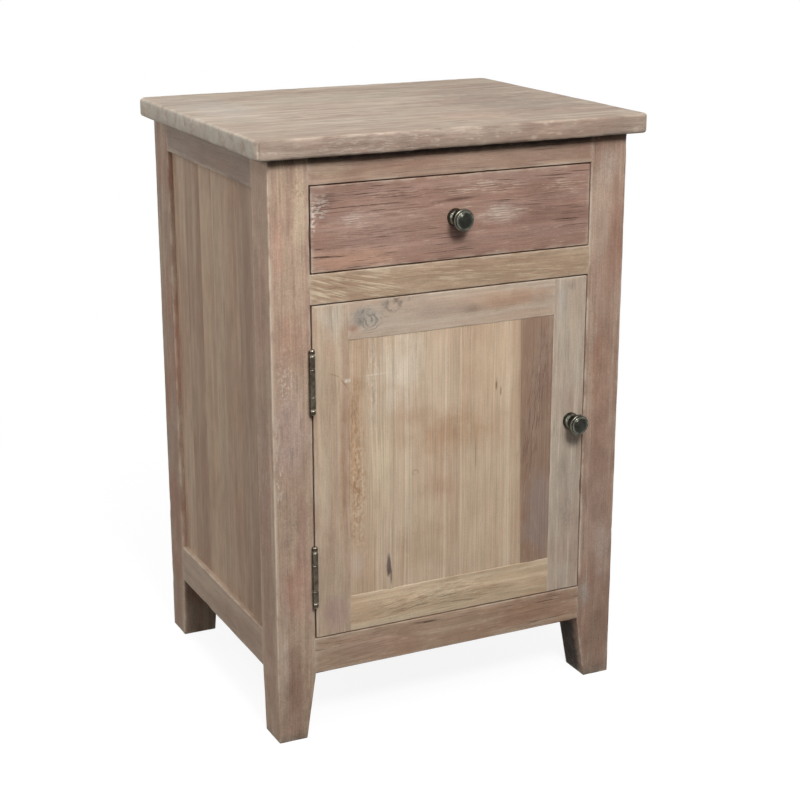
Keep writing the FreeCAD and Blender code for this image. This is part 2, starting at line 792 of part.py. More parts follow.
def door_tongue_box():
    corner = (
        f"-{PANEL_HALF} - panel_groove_depth",
        f"{FRONT} + door_tongue_setback",
        f"{PANEL_LOW} - panel_groove_depth",
    )
    size = (
        f"2 * {PANEL_HALF} + 2 * panel_groove_depth",
        "door_tongue_thickness",
        f"{PANEL_HIGH} - {PANEL_LOW} + 2 * panel_groove_depth",
    )
    return corner, size


def door_tenon(side, low, height):
    x = f"-{PANEL_HALF} - door_tenon_length" if side == LEFT else PANEL_HALF
    corner = (x, f"{FRONT} + (door_thickness - door_tenon_thickness) / 2", f"{low} + door_tenon_shoulder")
    return corner, ("door_tenon_length", "door_tenon_thickness", f"{height} - 2 * door_tenon_shoulder")


def make_door():
    groove = grown(door_tongue_box(), "joint_clearance")
    for side in SIDES:
        x = f"-{DOOR_HALF}" if side == LEFT else PANEL_HALF
        corner = (x, FRONT, DOOR_LOW)
        stile = Piece(f"door_stile_{side}", corner)
        stile.block(corner, ("door_stile_width", "door_thickness", f"{DOOR_HIGH} - {DOOR_LOW}"))
        stile.recess(*groove)
        for low, height in DOOR_RAILS.values():
            stile.recess(*grown(door_tenon(side, low, height), "joint_clearance"))
        if side == LEFT:
            for low in HINGES.values():
                stile.recess(*leaf_recess(f"-{DOOR_HALF}", low))
            for place in door_screw_places():
                screw_hole(stile, place)
        else:
            stile.drill(
                (DOOR_KNOB_X, FRONT, DOOR_KNOB_Z), Y_AXIS,
                "knob_screw_radius + screw_clearance", "door_thickness")
            for place in strike_screw_places():
                screw_hole(stile, place)
    for label, (low, height) in DOOR_RAILS.items():
        rail = Piece(label, (f"-{PANEL_HALF} - door_tenon_length", FRONT, low))
        rail.block((f"-{PANEL_HALF}", FRONT, low), (f"2 * {PANEL_HALF}", "door_thickness", height))
        for side in SIDES:
            rail.block(*door_tenon(side, low, height))
        rail.recess(*groove)
    corner, size = grown(door_tongue_box(), "-panel_room")
    corner[1], size[1] = f"{FRONT} + door_panel_recess", "door_panel_thickness"
    blank = Piece("door_panel_blank", corner, kept=False)
    field_corner = (f"-{PANEL_HALF} + panel_room", corner[1], f"{PANEL_LOW} + panel_room")
    blank.block(
        field_corner,
        (f"2 * {PANEL_HALF} - 2 * panel_room", size[1], f"{PANEL_HIGH} - {PANEL_LOW} - 2 * panel_room"))
    blank.block((corner[0], door_tongue_box()[0][1], corner[2]), (size[0], "door_tongue_thickness", size[2]))
    widths = [f"door_board_{count}" for count in ("one", "two", "three", "four")]
    glued_up("door_panel", blank, corner, size, 0, widths)


def make_knobs():
    """Turned knobs: a base flange, a swelling collar, a waist, and a ringed head with a domed face."""
    rim_front = "knob_head_back + knob_rim_thickness"
    ring_radius = "knob_rim_radius - knob_ring_step"
    outline = (
        ("0", "0"),
        ("knob_base_radius", "0"),
        ("knob_base_radius", "knob_base_thickness"),
        ("knob_collar_radius", "knob_base_thickness", "knob_collar_curve"),
        ("knob_neck_radius", "knob_neck_height", "-knob_flare_curve"),
        ("knob_rim_radius", "knob_head_back", "knob_rim_curve"),
        ("knob_rim_radius", rim_front),
        (ring_radius, rim_front),
        (ring_radius, f"{rim_front} + knob_ring_thickness", DOME),
        ("0", "knob_reach"),
    )
    places = {
        "drawer_knob": ("0", FRONT, DRAWER_MIDDLE),
        "door_knob": (DOOR_KNOB_X, FRONT, DOOR_KNOB_Z),
    }
    backs = {"drawer_knob": "drawer_front_thickness", "door_knob": "door_thickness"}
    for label, place in places.items():
        knob = Piece(label, place)
        knob.turn(outline)
        knob.drill(
            place, Y_AXIS, "knob_screw_radius + hinge_pin_clearance", "knob_screw_engagement + panel_room")
        knob.body.Placement.Rotation = FreeCAD.Rotation(Z_AXIS, 180)
        head_place = (place[0], f"{FRONT} + {backs[label]} + knob_screw_head_height", place[2])
        length = f"knob_screw_head_height + {backs[label]} + knob_screw_engagement"
        screw = Piece(f"{label}_screw", head_place)
        screw.turn((
            ("0", "0"),
            ("knob_screw_head_radius", "0"),
            ("knob_screw_head_radius", "knob_screw_head_height"),
            ("knob_screw_radius", "knob_screw_head_height"),
            ("knob_screw_radius", length),
            ("0", length),
        ))
        screw.body.Placement.Rotation = FreeCAD.Rotation(Z_AXIS, 180)
        cut_slot(screw, "knob_screw_head_radius")


def cut_slot(screw, head_radius):
    """A driver slot across a head that lies at the start of the body's Y axis."""
    x, y, z = screw.corner
    screw.recess(
        (f"{x} - {head_radius}", y, f"{z} - screw_slot_width / 2"),
        (f"2 * {head_radius}", "screw_slot_depth", "screw_slot_width"))


def wood_screw(label, head_radius, head_depth, radius, length, tip):
    """A countersunk wood screw that points along its body's Y axis, drawn once for its copies."""
    screw = Piece(label, ("0", "0", "0"), kept=False)
    screw.turn((
        ("0", "0"),
        (head_radius, "0"),
        (radius, head_depth),
        (radius, f"{length} - {tip}"),
        ("0", length),
    ))
    cut_slot(screw, head_radius)
    return screw


def make_screws():
    sizes = ("screw_head_radius", "screw_head_depth", "screw_radius")
    small = wood_screw("small_screw", *sizes, "screw_length", "screw_tip")
    copies("hinge_frame_screws", small, frame_screw_places())
    copies("hinge_door_screws", small, door_screw_places())
    copies("catch_strike_screws", small, strike_screw_places())
    catch = wood_screw("catch_screw", *sizes, "catch_screw_length", "screw_tip")
    copies("catch_screws", catch, catch_screw_places())
    top = wood_screw(
        "top_screw", "top_screw_head_radius", "top_screw_head_depth", "top_screw_radius",
        "top_screw_length", "top_screw_tip")
    copies("top_screws", top, top_screw_places())


def make_leaf(label, face_x, low, knuckles, holes):
    """A hinge leaf: a plate in the gap, reaching forward to its knuckles round the pin."""
    leaf = Piece(label, (HINGE_X, HINGE_Y, low))
    leaf.block((face_x, LEAF_FRONT, low), ("hinge_leaf_thickness", "hinge_leaf_width", BARREL))
    for start, length in knuckles:
        foot = (HINGE_X, HINGE_Y, f"{low} + {start}")
        leaf.block(
            (face_x, HINGE_Y, foot[2]), ("hinge_leaf_thickness", f"{LEAF_FRONT} - {HINGE_Y}", length))
        leaf.rod(foot, Z_AXIS, "hinge_barrel_radius", length)
    leaf.drill((HINGE_X, HINGE_Y, low), Z_AXIS, "hinge_pin_radius + hinge_pin_clearance", BARREL)
    for point, direction in holes:
        leaf.drill(point, direction, "screw_radius + screw_clearance", "hinge_leaf_thickness")
        leaf.countersink(
            point, direction, "screw_head_radius + screw_clearance", "screw_radius + screw_clearance",
            "screw_head_depth")


def make_hinges():
    end = "hinge_end_knuckle - running_gap / 2"
    frame_knuckles = (("0", end), (f"{BARREL} - ({end})", end))
    door_knuckles = (("hinge_end_knuckle + running_gap / 2", "hinge_middle_knuckle - running_gap"),)
    frame_holes, door_holes = frame_screw_places(), door_screw_places()
    screws = len(HINGE_SCREW_STEPS)
    for index, (label, low) in enumerate(HINGES.items()):
        own = slice(screws * index, screws * (index + 1))
        frame_face = f"-{OPENING} - hinge_leaf_thickness"
        make_leaf(f"{label}_frame_leaf", frame_face, low, frame_knuckles, frame_holes[own])
        make_leaf(f"{label}_door_leaf", f"-{DOOR_HALF}", low, door_knuckles, door_holes[own])
        pin = Piece(f"{label}_pin", (HINGE_X, HINGE_Y, low))
        pin.rod((HINGE_X, HINGE_Y, f"{low} - finial_neck_height"), Z_AXIS, "hinge_pin_radius",
                f"{BARREL} + 2 * finial_neck_height")
        reach = "(finial_neck_height + finial_ball_radius - finial_ball_sink)"
        for foot, direction, centre in (
                (low, -Z_AXIS, f"{low} - {reach}"),
                (f"{low} + {BARREL}", Z_AXIS, f"{low} + {BARREL} + {reach}")):
            pin.rod((HINGE_X, HINGE_Y, foot), direction, "finial_neck_radius", reach)
            pin.ball((HINGE_X, HINGE_Y, centre), "finial_ball_radius")


def make_catch():
    """A magnetic catch on the right front leg, and the strike plate it holds on the door's back."""
    corner = (f"{OPENING} - catch_width", CATCH_Y, f"{CATCH_Z} - catch_length / 2")
    body = Piece("catch_body", corner)
    body.block(corner, ("catch_width", "catch_depth", "catch_length"))
    magnet_corner = (
        f"{STRIKE_X} + (strike_width - magnet_width) / 2", f"{CATCH_Y} - magnet_proud",
        f"{CATCH_Z} - magnet_length / 2")
    magnet_box = (magnet_corner, ("magnet_width", "magnet_depth", "magnet_length"))
    body.recess(*grown(magnet_box, "joint_clearance"))
    for point, direction in catch_screw_places():
        body.drill(point, direction, "screw_radius + screw_clearance", "catch_width")
        body.countersink(
            point, direction, "screw_head_radius + screw_clearance", "screw_radius + screw_clearance",
            "screw_head_depth")
    Piece("catch_magnet", magnet_corner).block(*magnet_box)
    corner = (STRIKE_X, DOOR_BACK, f"{CATCH_Z} - strike_length / 2")
    strike = Piece("catch_strike", corner)
    strike.block(corner, ("strike_width", "strike_thickness", "strike_length"))
    for point, direction in strike_screw_places():
        strike.drill(point, direction, "screw_radius + screw_clearance", "strike_thickness")
        strike.countersink(
            point, direction, "screw_head_radius + screw_clearance", "screw_radius + screw_clearance",
            "screw_head_depth")


def write_parts():
    document.recompute()
    for item in document.Objects:
        if "Invalid" in item.State or "Error" in item.State:
            raise RuntimeError(f"{item.Name} did not compute: {item.State}")
    for node in nodes:
        if node.Shape.isNull() or not node.Shape.isValid():
            raise RuntimeError(f"{node.Label} has no valid shape")
    os.makedirs("parts", exist_ok=True)
    for node in nodes:
        node.Shape.exportStep(f"parts/{node.Label}.step")


make_legs()
make_cross_rails()
make_side_rails()
make_panels()
make_top()
make_cupboard_floor()
make_drawer_ways()
make_drawer()
make_door()
make_knobs()
make_screws()
make_hinges()
make_catch()
write_parts()
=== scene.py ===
import json
import math
import random
from functools import partial
from itertools import accumulate

import bpy
import numpy as np
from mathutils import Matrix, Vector


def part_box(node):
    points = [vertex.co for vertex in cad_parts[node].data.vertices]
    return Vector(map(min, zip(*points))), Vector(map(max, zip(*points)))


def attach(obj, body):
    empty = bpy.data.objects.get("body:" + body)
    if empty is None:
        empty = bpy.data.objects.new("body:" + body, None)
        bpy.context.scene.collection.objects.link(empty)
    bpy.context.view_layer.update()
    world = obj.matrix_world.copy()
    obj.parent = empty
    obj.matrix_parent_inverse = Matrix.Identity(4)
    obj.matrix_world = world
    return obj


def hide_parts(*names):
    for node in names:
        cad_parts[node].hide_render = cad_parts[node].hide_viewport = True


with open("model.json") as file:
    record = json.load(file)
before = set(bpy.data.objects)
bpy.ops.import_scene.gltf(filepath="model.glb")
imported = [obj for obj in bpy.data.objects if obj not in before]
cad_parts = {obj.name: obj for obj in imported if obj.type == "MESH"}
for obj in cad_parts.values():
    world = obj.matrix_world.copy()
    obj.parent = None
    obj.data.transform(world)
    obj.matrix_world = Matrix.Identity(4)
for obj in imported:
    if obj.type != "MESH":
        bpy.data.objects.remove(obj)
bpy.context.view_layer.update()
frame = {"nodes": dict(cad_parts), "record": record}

# A nightstand of washed, reclaimed boards with dark bronze knobs and hinges.
# Metres, in the part's frame: +Z up, the front faces -Y.

MM = 0.001
X, Y, Z = 0, 1, 2
LEFT, RIGHT = "left", "right"


# The camera and the studio

CAMERA_AZIMUTH = math.radians(-25.86)
CAMERA_ELEVATION = math.radians(17.07)
CAMERA_DISTANCE = 2.1647
CAMERA_LENS = 77.91
CAMERA_TARGET = Vector((0.02298, 0.012, 0.33124))


def heading(azimuth, elevation):
    """Unit vector from the nightstand towards the camera."""
    level = math.cos(elevation)
    return Vector((math.sin(azimuth) * level, -math.cos(azimuth) * level, math.sin(elevation)))


def place_camera():
    camera = bpy.data.objects.new("camera", bpy.data.cameras.new("camera"))
    camera.data.lens = CAMERA_LENS
    back = heading(CAMERA_AZIMUTH, CAMERA_ELEVATION)
    camera.location = CAMERA_TARGET + back * CAMERA_DISTANCE
    camera.rotation_euler = back.to_track_quat("Z", "Y").to_euler()
    bpy.context.collection.objects.link(camera)
    bpy.context.scene.camera = camera


# Shader building

def dye(red, green, blue):
    """A colour as the eye sees it, 0 to 255, in the linear values that a shader takes."""
    parts = [part / 255 for part in (red, green, blue)]
    linear = [part / 12.92 if part < 0.04045 else ((part + 0.055) / 1.055) ** 2.4 for part in parts]
    return (*linear, 1)


class Wire:
    """A shader value that Python's operators work on."""

    def __init__(self, finish, socket):
        self.finish = finish
        self.socket = socket

    def maths(self, operation, *values):
        return self.finish.node("Math", {"operation": operation}, values)

    def __add__(self, other):
        return self.maths("ADD", self, other)

    def __sub__(self, other):
        return self.maths("SUBTRACT", self, other)

    def __rsub__(self, other):
        return self.maths("SUBTRACT", other, self)

    def __mul__(self, other):
        return self.maths("MULTIPLY", self, other)

    def sine(self):
        return self.maths("SINE", self)

    __radd__ = __add__
    __rmul__ = __mul__


class Finish:
    """A material, or the world, under construction."""

    def __init__(self, name, kind="materials"):
        self.owner = getattr(bpy.data, kind).new(name)
        self.owner.use_nodes = True
        self.tree = self.owner.node_tree

    def feed(self, socket, value):
        if isinstance(value, Wire):
            self.tree.links.new(value.socket, socket)
        elif socket.type == "VECTOR":
            socket.default_value = value[:3]
        else:
            socket.default_value = value

    def node(self, kind, settings=None, sockets=(), output=0):
        """Add a node: its settings first, then the values or wires of its sockets."""
        node = self.tree.nodes.new("ShaderNode" + kind)
        for key, value in (settings or {}).items():
            setattr(node, key, value)
        pairs = sockets.items() if isinstance(sockets, dict) else enumerate(sockets)
        for key, value in pairs:
            self.feed(node.inputs[key], value)
        return Wire(self, node.outputs[output])

    def place(self):
        """Where a point lies, in metres."""
        return self.node("TexCoord", output="Object")

    def attribute(self, name, output):
        return self.node("Attribute", {"attribute_name": name}, output=output)

    def vector(self, operation, *values, output=0):
        return self.node("VectorMath", {"operation": operation}, values, output)

    def stretched(self, point, factors):
        return self.vector("MULTIPLY", point, factors)

    def shaded(self, colour, factor):
        """A colour made lighter or darker by a wire."""
        return self.node("VectorMath", {"operation": "SCALE"}, {"Vector": colour, "Scale": factor})

    def noise(self, point, waves, detail=2.0, roughness=0.5):
        """Noise of so many waves per metre, the same all ways or one number for each axis."""
        waves = waves if isinstance(waves, (list, tuple)) else (waves,) * 3
        point = self.stretched(point, waves)
        sockets = {"Vector": point, "Scale": 1.0, "Detail": detail, "Roughness": roughness}
        return self.node("TexNoise", None, sockets)

    def line_noise(self, place, detail=2.0):
        """Noise along a line, for year rings."""
        return self.node("TexNoise", {"noise_dimensions": "1D"}, {"W": place, "Scale": 1.0, "Detail": detail})

    def ramp(self, value, start, end):
        """0 before start, 1 after end, and a soft change between; start may lie above end."""
        settings = {"interpolation_type": "SMOOTHSTEP"}
        if start < end:
            return self.node("MapRange", settings, {0: value, 1: start, 2: end})
        return self.node("MapRange", settings, {0: value, 1: end, 2: start, 3: 1.0, 4: 0.0})

    def mix(self, one, other, share, blend="MIX"):
        settings = {"data_type": "RGBA", "blend_type": blend, "clamp_factor": True}
        return self.node("Mix", settings, {"Factor": share, 6: one, 7: other}, 2)

    def bump(self, height, distance, strength=1.0):
        return self.node("Bump", None, {"Strength": strength, "Distance": distance, "Height": height})

    def set(self, **sockets):
        """Set the shader's own sockets, named in lower case with underscores."""
        inputs = self.tree.nodes["Principled BSDF"].inputs
        for name, value in sockets.items():
            self.feed(inputs[name.replace("_", " ").title().replace("Ior", "IOR")], value)


# Studio light

WHITE = (1, 1, 1, 1)
AMBIENT = (0.06, 0.06, 0.06, 1)
FLOOR_REACH = 1.6
FLOOR_DULL = (0.14, 0.14, 0.14, 1)
FLOOR_PALE = (0.18, 0.18, 0.18, 1)
FLOOR_GLOW = 0.89
FLOOR_FADE = (0.45, 1.2)
LAMP_TARGET = Vector((0, -0.18, 0.6))


def seen_directly(finish):
    """1 on camera rays and on mirrored or refracted ones, so that only these see the white backdrop."""
    camera, mirrored, through = (
        finish.node("LightPath", output=f"Is {kind} Ray") for kind in ("Camera", "Glossy", "Transmission"))
    return camera + mirrored + through


def light_world():
    finish = Finish("studio", "worlds")
    bpy.context.scene.world = finish.owner
    background = finish.tree.nodes["Background"]
    finish.feed(background.inputs["Color"], finish.mix(AMBIENT, WHITE, seen_directly(finish)))


def lay_floor():
    """A pale floor that keeps the shadow near the feet and fades into the white backdrop."""
    mesh = bpy.data.meshes.new("floor")
    corners = [(sx * FLOOR_REACH, sy * FLOOR_REACH, 0) for sx, sy in ((-1, -1), (1, -1), (1, 1), (-1, 1))]
    mesh.from_pydata(corners, [], [(0, 1, 2, 3)])
    floor = bpy.data.objects.new("floor", mesh)
    bpy.context.collection.objects.link(floor)
    finish = Finish("floor_paint")
    tree = finish.tree
    dull = finish.node("BsdfDiffuse", None, {"Color": FLOOR_DULL})
    pale = finish.node("BsdfDiffuse", None, {"Color": FLOOR_PALE})
    glow = finish.node("Emission", None, {"Color": WHITE, "Strength": FLOOR_GLOW})
    backdrop = finish.node("Emission", None, {"Color": WHITE, "Strength": 1.0})
    lit = finish.node("AddShader", None, (pale, glow))
    distance = finish.vector("LENGTH", finish.place(), output="Value")
    near = finish.node("MixShader", None, (finish.ramp(distance, *FLOOR_FADE), lit, backdrop))
    whole = finish.node("MixShader", None, (seen_directly(finish), dull, near))
    tree.links.new(whole.socket, tree.nodes["Material Output"].inputs["Surface"])
    mesh.materials.append(finish.owner)


def hang_lamp(name, place, size, level):
    """A square softbox aimed at the drawer; level 1 lights a facing surface to its own colour."""
    lamp = bpy.data.objects.new(name, bpy.data.lights.new(name, "AREA"))
    lamp.data.shape = "SQUARE"
    lamp.data.size = size
    towards = Vector(place) - LAMP_TARGET
    lamp.data.energy = level * math.pi ** 2 * towards.length_squared
    lamp.location = place
    lamp.rotation_euler = towards.to_track_quat("Z", "Y").to_euler()
    bpy.context.collection.objects.link(lamp)


def light_studio():
    bpy.context.scene.view_settings.view_transform = "Standard"
    light_world()
    lay_floor()
    hang_lamp("key", (-0.25, -1.56, 1.62), 0.42, 0.67)
    hang_lamp("soft_front", (-0.30, -1.30, 2.20), 1.6, 0.58)
    hang_lamp("accent", (-1.35, -0.60, 2.0), 0.30, 0.10)
    hang_lamp("left_fill", (-2.4, -0.3, 1.2), 1.4, 0.30)
    hang_lamp("right_fill", (2.4, 0.8, 1.2), 1.8, 0.25)
    hang_lamp("back_fill", (-0.6, 2.3, 1.2), 1.8, 0.28)


# Wood

WORN_EDGE = dye(214, 198, 178)
END_GREY = dye(180, 174, 161)
SAWN_PALE = dye(196, 170, 136)
SAWN_DARK = dye(168, 140, 112)
RING_PITCH = 2.6 * MM
PIN_PITCH = 1.15 * RING_PITCH
GRAIN_SWAY = 14 * MM
FAR = 100_000
KNOT_WARP = 75
KNOT_BREAKS = 90


def blotch(across, up, width, height, shade, share, **more):
    """An oval of colour on a board: its middle and half sizes in millimetres, and how well it covers.

    More may give its tilt in degrees, its soft or rough edge, and the face it is seen on."""
    return dict(at=(across, up), size=(width, height), shade=shade, share=share, **more)


def stain(*oval, **more):
    """A blotch that fades from its middle."""
    return blotch(*oval, soft=0.0, **more)


def strokes(grit, *oval, **more):
    """A blotch broken up into strokes or specks."""
    return blotch(*oval, grit=grit, **more)


def knot(*oval, rings):
    """Broken rings round a middle."""
    return blotch(*oval, whorl=rings)


# Strokes by their waves per metre along each axis
scratches = partial(strokes, (46, 760, 760))
hairlines = partial(strokes, (760, 760, 34))
flakes = partial(strokes, (330, 330, 210))
figure = partial(strokes, (30, 560, 560))
washes = partial(strokes, (26, 150, 150))
nicks = partial(strokes, (110, 720, 720))
runs = partial(strokes, (430, 430, 110))
blocks = partial(strokes, (90, 380, 380))
dabs = partial(strokes, (110, 300, 300))


def paint(finish, place, ragged, colour, at, size, shade, share, tilt=0, whorl=0, grit=None, soft=0.15,
          face="front", rough=None):
    """Lay one blotch over a board's colour, seen from the front, the top or the side."""
    turn = math.radians(tilt)
    location, rotation, scale = {
        "front": ((at[0], 0, at[1]), (0, -turn, 0), (size[0], FAR, size[1])),
        "top": ((at[0], at[1], 0), (0, 0, turn), (size[0], size[1], FAR)),
        "side": ((0, at[0], at[1]), (turn, 0, 0), (FAR, size[0], size[1])),
    }[face]
    sockets = {
        "Vector": place,
        "Location": [part * MM for part in location],
        "Rotation": rotation,
        "Scale": [part * MM for part in scale],
    }
    local = finish.node("Mapping", {"vector_type": "TEXTURE"}, sockets)
    distance = finish.vector("LENGTH", local, output="Value")
    edge = ragged * rough if rough else ragged
    mask = finish.ramp(distance + edge, 1.0, soft) * share
    if whorl:
        warp = finish.noise(place, KNOT_WARP) * 0.9
        broken = finish.ramp(finish.noise(place, KNOT_BREAKS), 0.40, 0.54)
        mask = mask * broken * finish.ramp(((distance + warp) * whorl * 2 * math.pi).sine(), -0.1, 0.95)
    if grit:
        level = finish.stretched(local, [part * MM for part in scale])
        mask = mask * finish.ramp(finish.noise(level, grit, 2.0, 0.6), 0.50, 0.58)
    return finish.mix(colour, dye(*shade), mask)


def wood(name, tones, marks=(), face="front", bands=0.6, rings=0.25, dashes=0.3, flecks=0.3,
         mottle=0.4, fibres=0.6, streaks=0.2, worn=0.45, specks=0.3, fine=1.0, pins=0.0, length=1.0):
    """A washed and worn board in three tones: year rings, dark dashes, pale flecks and rubbed arrises.

    Most settings say how strong a trait is; a low fine coarsens the fibres, and length draws them out."""
    finish = Finish(name)
    noise, ramp, mix = finish.noise, finish.ramp, finish.mix
    grain = finish.attribute("grain", "Vector")
    tint = finish.attribute("tint", "Color")
    wear = finish.attribute("wear", "Fac")
    end = finish.attribute("end", "Fac")
    place = finish.place()

    # Waves per metre along, across and through the board
    sway = noise(grain, (3, 12, 12)) - 0.5
    drift = finish.node("CombineXYZ", None, (0.0, sway * GRAIN_SWAY, sway * GRAIN_SWAY))
    bent = finish.vector("ADD", grain, drift)
    radius = finish.vector("LENGTH", finish.stretched(bent, (0, 1, 1)), output="Value")
    ring = finish.line_noise(radius * (1 / RING_PITCH), 3.0) - 0.5
    cloud = noise(grain, (8, 20, 20), 3.0, 0.55)
    band = noise(bent, (3 / length, 85, 85), 3.0, 0.6)
    patch = noise(grain, (26, 60, 60), 4.0, 0.6)
    fibre = noise(bent, (30 / length, 760 * fine, 760 * fine), 3.0, 0.7) - 0.5
    speck = noise(place, 520, 2.0, 0.7) - 0.5
    dash = noise(bent, (16 / length, 640 * fine, 640 * fine), 2.0, 0.55)
    cluster = noise(grain, (11, 36, 36))
    fleck = noise(bent, (60, 820 * fine, 820 * fine), 2.0, 0.6)
    ragged = (noise(place, 60, 3.0, 0.6) - 0.5) * 1.2

    tone, blush, pale = (dye(*part) for part in tones)
    colour = mix(tone, blush, ramp(cloud, 0.42, 0.62) * 0.8)
    colour = mix(colour, pale, ramp(band, 0.48, 0.66) * bands)
    colour = mix(colour, tint, 1.0, "MULTIPLY")
    for mark in marks:
        colour = paint(finish, place, ragged, colour, **{"face": face, **mark})
    clear = ramp(band, 0.38, 0.60)
    pin = (radius * (2 * math.pi / PIN_PITCH) + cloud * 9).sine()
    pin = pin * ramp(cluster, 0.40, 0.56)
    shade = 1 + ring * rings * (0.4 + clear) + pin * pins + (band - 0.5) * streaks
    shade = shade + (patch - 0.5) * mottle + fibre * fibres + speck * specks
    colour = finish.shaded(colour, shade)
    scored = ramp(dash, 0.59, 0.67) * ramp(cluster, 0.47, 0.60)
    colour = finish.shaded(colour, 1 - scored * dashes)
    washed = ramp(fleck, 0.58, 0.66) * ramp(patch, 0.46, 0.58)
    colour = mix(colour, WORN_EDGE, washed * flecks)
    rubbed = wear * ramp(patch, 0.40, 0.58)
    colour = mix(colour, WORN_EDGE, rubbed * worn)
    colour = mix(colour, END_GREY, end * ramp(patch, 0.36, 0.62) * 0.75)

    height = ring * 0.3 + fibre * 0.4 - scored * 0.6 + washed * 0.3
    roughness = 0.62 + (patch - 0.5) * 0.3 - rubbed * 0.1
    finish.set(base_color=colour, roughness=roughness, specular_ior_level=0.08,
               normal=finish.bump(height, 0.4 * MM, 0.7))
    return finish.owner


def sawn_wood(name, along):
    """Plain planed boards inside the cabinet and drawer, with their grain along one axis."""
    finish = Finish(name)
    place = finish.place()
    fine, broad = [900] * 3, [24] * 3
    fine[along], broad[along] = 14, 3
    lines = finish.noise(place, fine)
    bands = finish.noise(place, [part * 5 for part in broad], 3.0, 0.6)
    cloud = finish.noise(place, broad, 3.0)
    shade = 1 + (lines - 0.5) * 0.5 + (bands - 0.5) * 0.5 + (cloud - 0.5) * 0.4
    colour = finish.shaded(finish.mix(SAWN_PALE, SAWN_DARK, finish.ramp(cloud, 0.45, 0.7)), shade)
    finish.set(base_color=colour, roughness=0.66 + (bands - 0.5) * 0.2, specular_ior_level=0.08,
               normal=finish.bump(lines + bands, 0.2 * MM, 0.5))
    return finish.owner


# The marks on each board, in the part's frame: x and z, on the top x and y, on a side y and z

MARKS = {}
MARKS["leg_front_left"] = [
    blotch(-186, 620, 14, 70, (200, 178, 152), 0.7),
    blotch(-212, 590, 10, 60, (188, 150, 132), 0.7),
    # Painted shade: darkens the side faces of the leg.
    stain(-149, 350, 25, 420, (150, 128, 110), 0.4, face="side"),
    blotch(-200, 480, 26, 45, (182, 146, 126), 0.6),
    flakes(-206, 430, 14, 50, (224, 208, 192), 0.45),
    flakes(-188, 640, 12, 26, (140, 108, 90), 0.4),
    runs(-216, 330, 8, 90, (222, 208, 194), 0.5),
    # Painted shadow: a dark band across the top of the leg, under the overhang of the top.
    blotch(-200, 679, 60, 11, (46, 38, 34), 0.9, soft=0.3, rough=0.3),
    blotch(-200, 375, 26, 70, (188, 164, 154), 0.65),
    flakes(-203, 270, 16, 50, (148, 136, 126), 0.45),
    stain(-213, 110, 7, 100, (206, 190, 174), 0.6),
    stain(-204, 190, 6, 44, (146, 104, 86), 0.6),
    stain(-200, 0, 60, 12, (126, 120, 112), 0.6),
    blotch(-198, 190, 24, 60, (180, 140, 124), 0.6),
    stain(-200, 60, 26, 90, (148, 118, 102), 0.75),
]
MARKS["leg_front_right"] = [
    blotch(194, 620, 20, 70, (184, 160, 142), 0.6),
    flakes(200, 640, 16, 34, (150, 122, 106), 0.4),
    # Painted shadow: a dark band across the top of the leg, under the overhang of the top.
    blotch(198, 679, 60, 10, (56, 46, 41), 0.75, soft=0.3, rough=0.3),
    # Painted shade: a dark patch on the side faces of the foot, under the cabinet.
    blotch(-148, 30, 26, 70, (50, 45, 40), 0.95, soft=0.5, face="side"),
    stain(212, 560, 13, 100, (162, 124, 107), 0.6),
    stain(186, 560, 11, 110, (180, 156, 139), 0.5),
    stain(184, 115, 14, 30, (186, 176, 166), 0.65),
    blotch(198, 400, 24, 90, (170, 136, 115), 0.55),
    blotch(198, 230, 26, 80, (176, 150, 136), 0.5),
    stain(200, 60, 26, 80, (152, 128, 110), 0.65),
    stain(206, 165, 16, 60, (188, 168, 156), 0.6),
    stain(198, 640, 20, 34, (198, 180, 166), 0.45),
    stain(190, 420, 9, 90, (158, 114, 94), 0.5),
    stain(200, 0, 60, 12, (126, 120, 112), 0.5),
]
MARKS["front_top_rail"] = [
    blotch(-160, 664, 50, 14, (188, 166, 144), 0.6),
    blotch(-60, 660, 60, 12, (164, 128, 110), 0.5),
    blotch(40, 666, 80, 12, (184, 154, 134), 0.5),
    # Painted shadow: a dark band along the top of the rail, under the overhang of the top.
    blotch(0, 679, 900, 12, (46, 38, 34), 0.95, soft=0.35, rough=0.3),
]
MARKS["front_middle_rail"] = [
    figure(-156, 532, 36, 26, (216, 200, 172), 0.8, tilt=-20),
    figure(-96, 533, 50, 22, (212, 194, 166), 0.75, tilt=-13),
    figure(-130, 536, 80, 22, (138, 112, 90), 0.45, tilt=-16),
    figure(0, 536, 80, 16, (214, 194, 166), 0.55, tilt=-6),
    figure(100, 530, 80, 18, (212, 190, 160), 0.55, tilt=-3),
    figure(60, 532, 120, 18, (146, 116, 92), 0.4, tilt=-4),
]
MARKS["front_bottom_rail"] = [
    figure(-110, 100, 80, 26, (112, 88, 72), 0.5, tilt=5),
    figure(110, 104, 80, 20, (120, 94, 78), 0.45),
    blotch(-100, 101, 70, 20, (186, 154, 136), 0.5),
    blotch(110, 101, 70, 20, (172, 134, 112), 0.5),
]
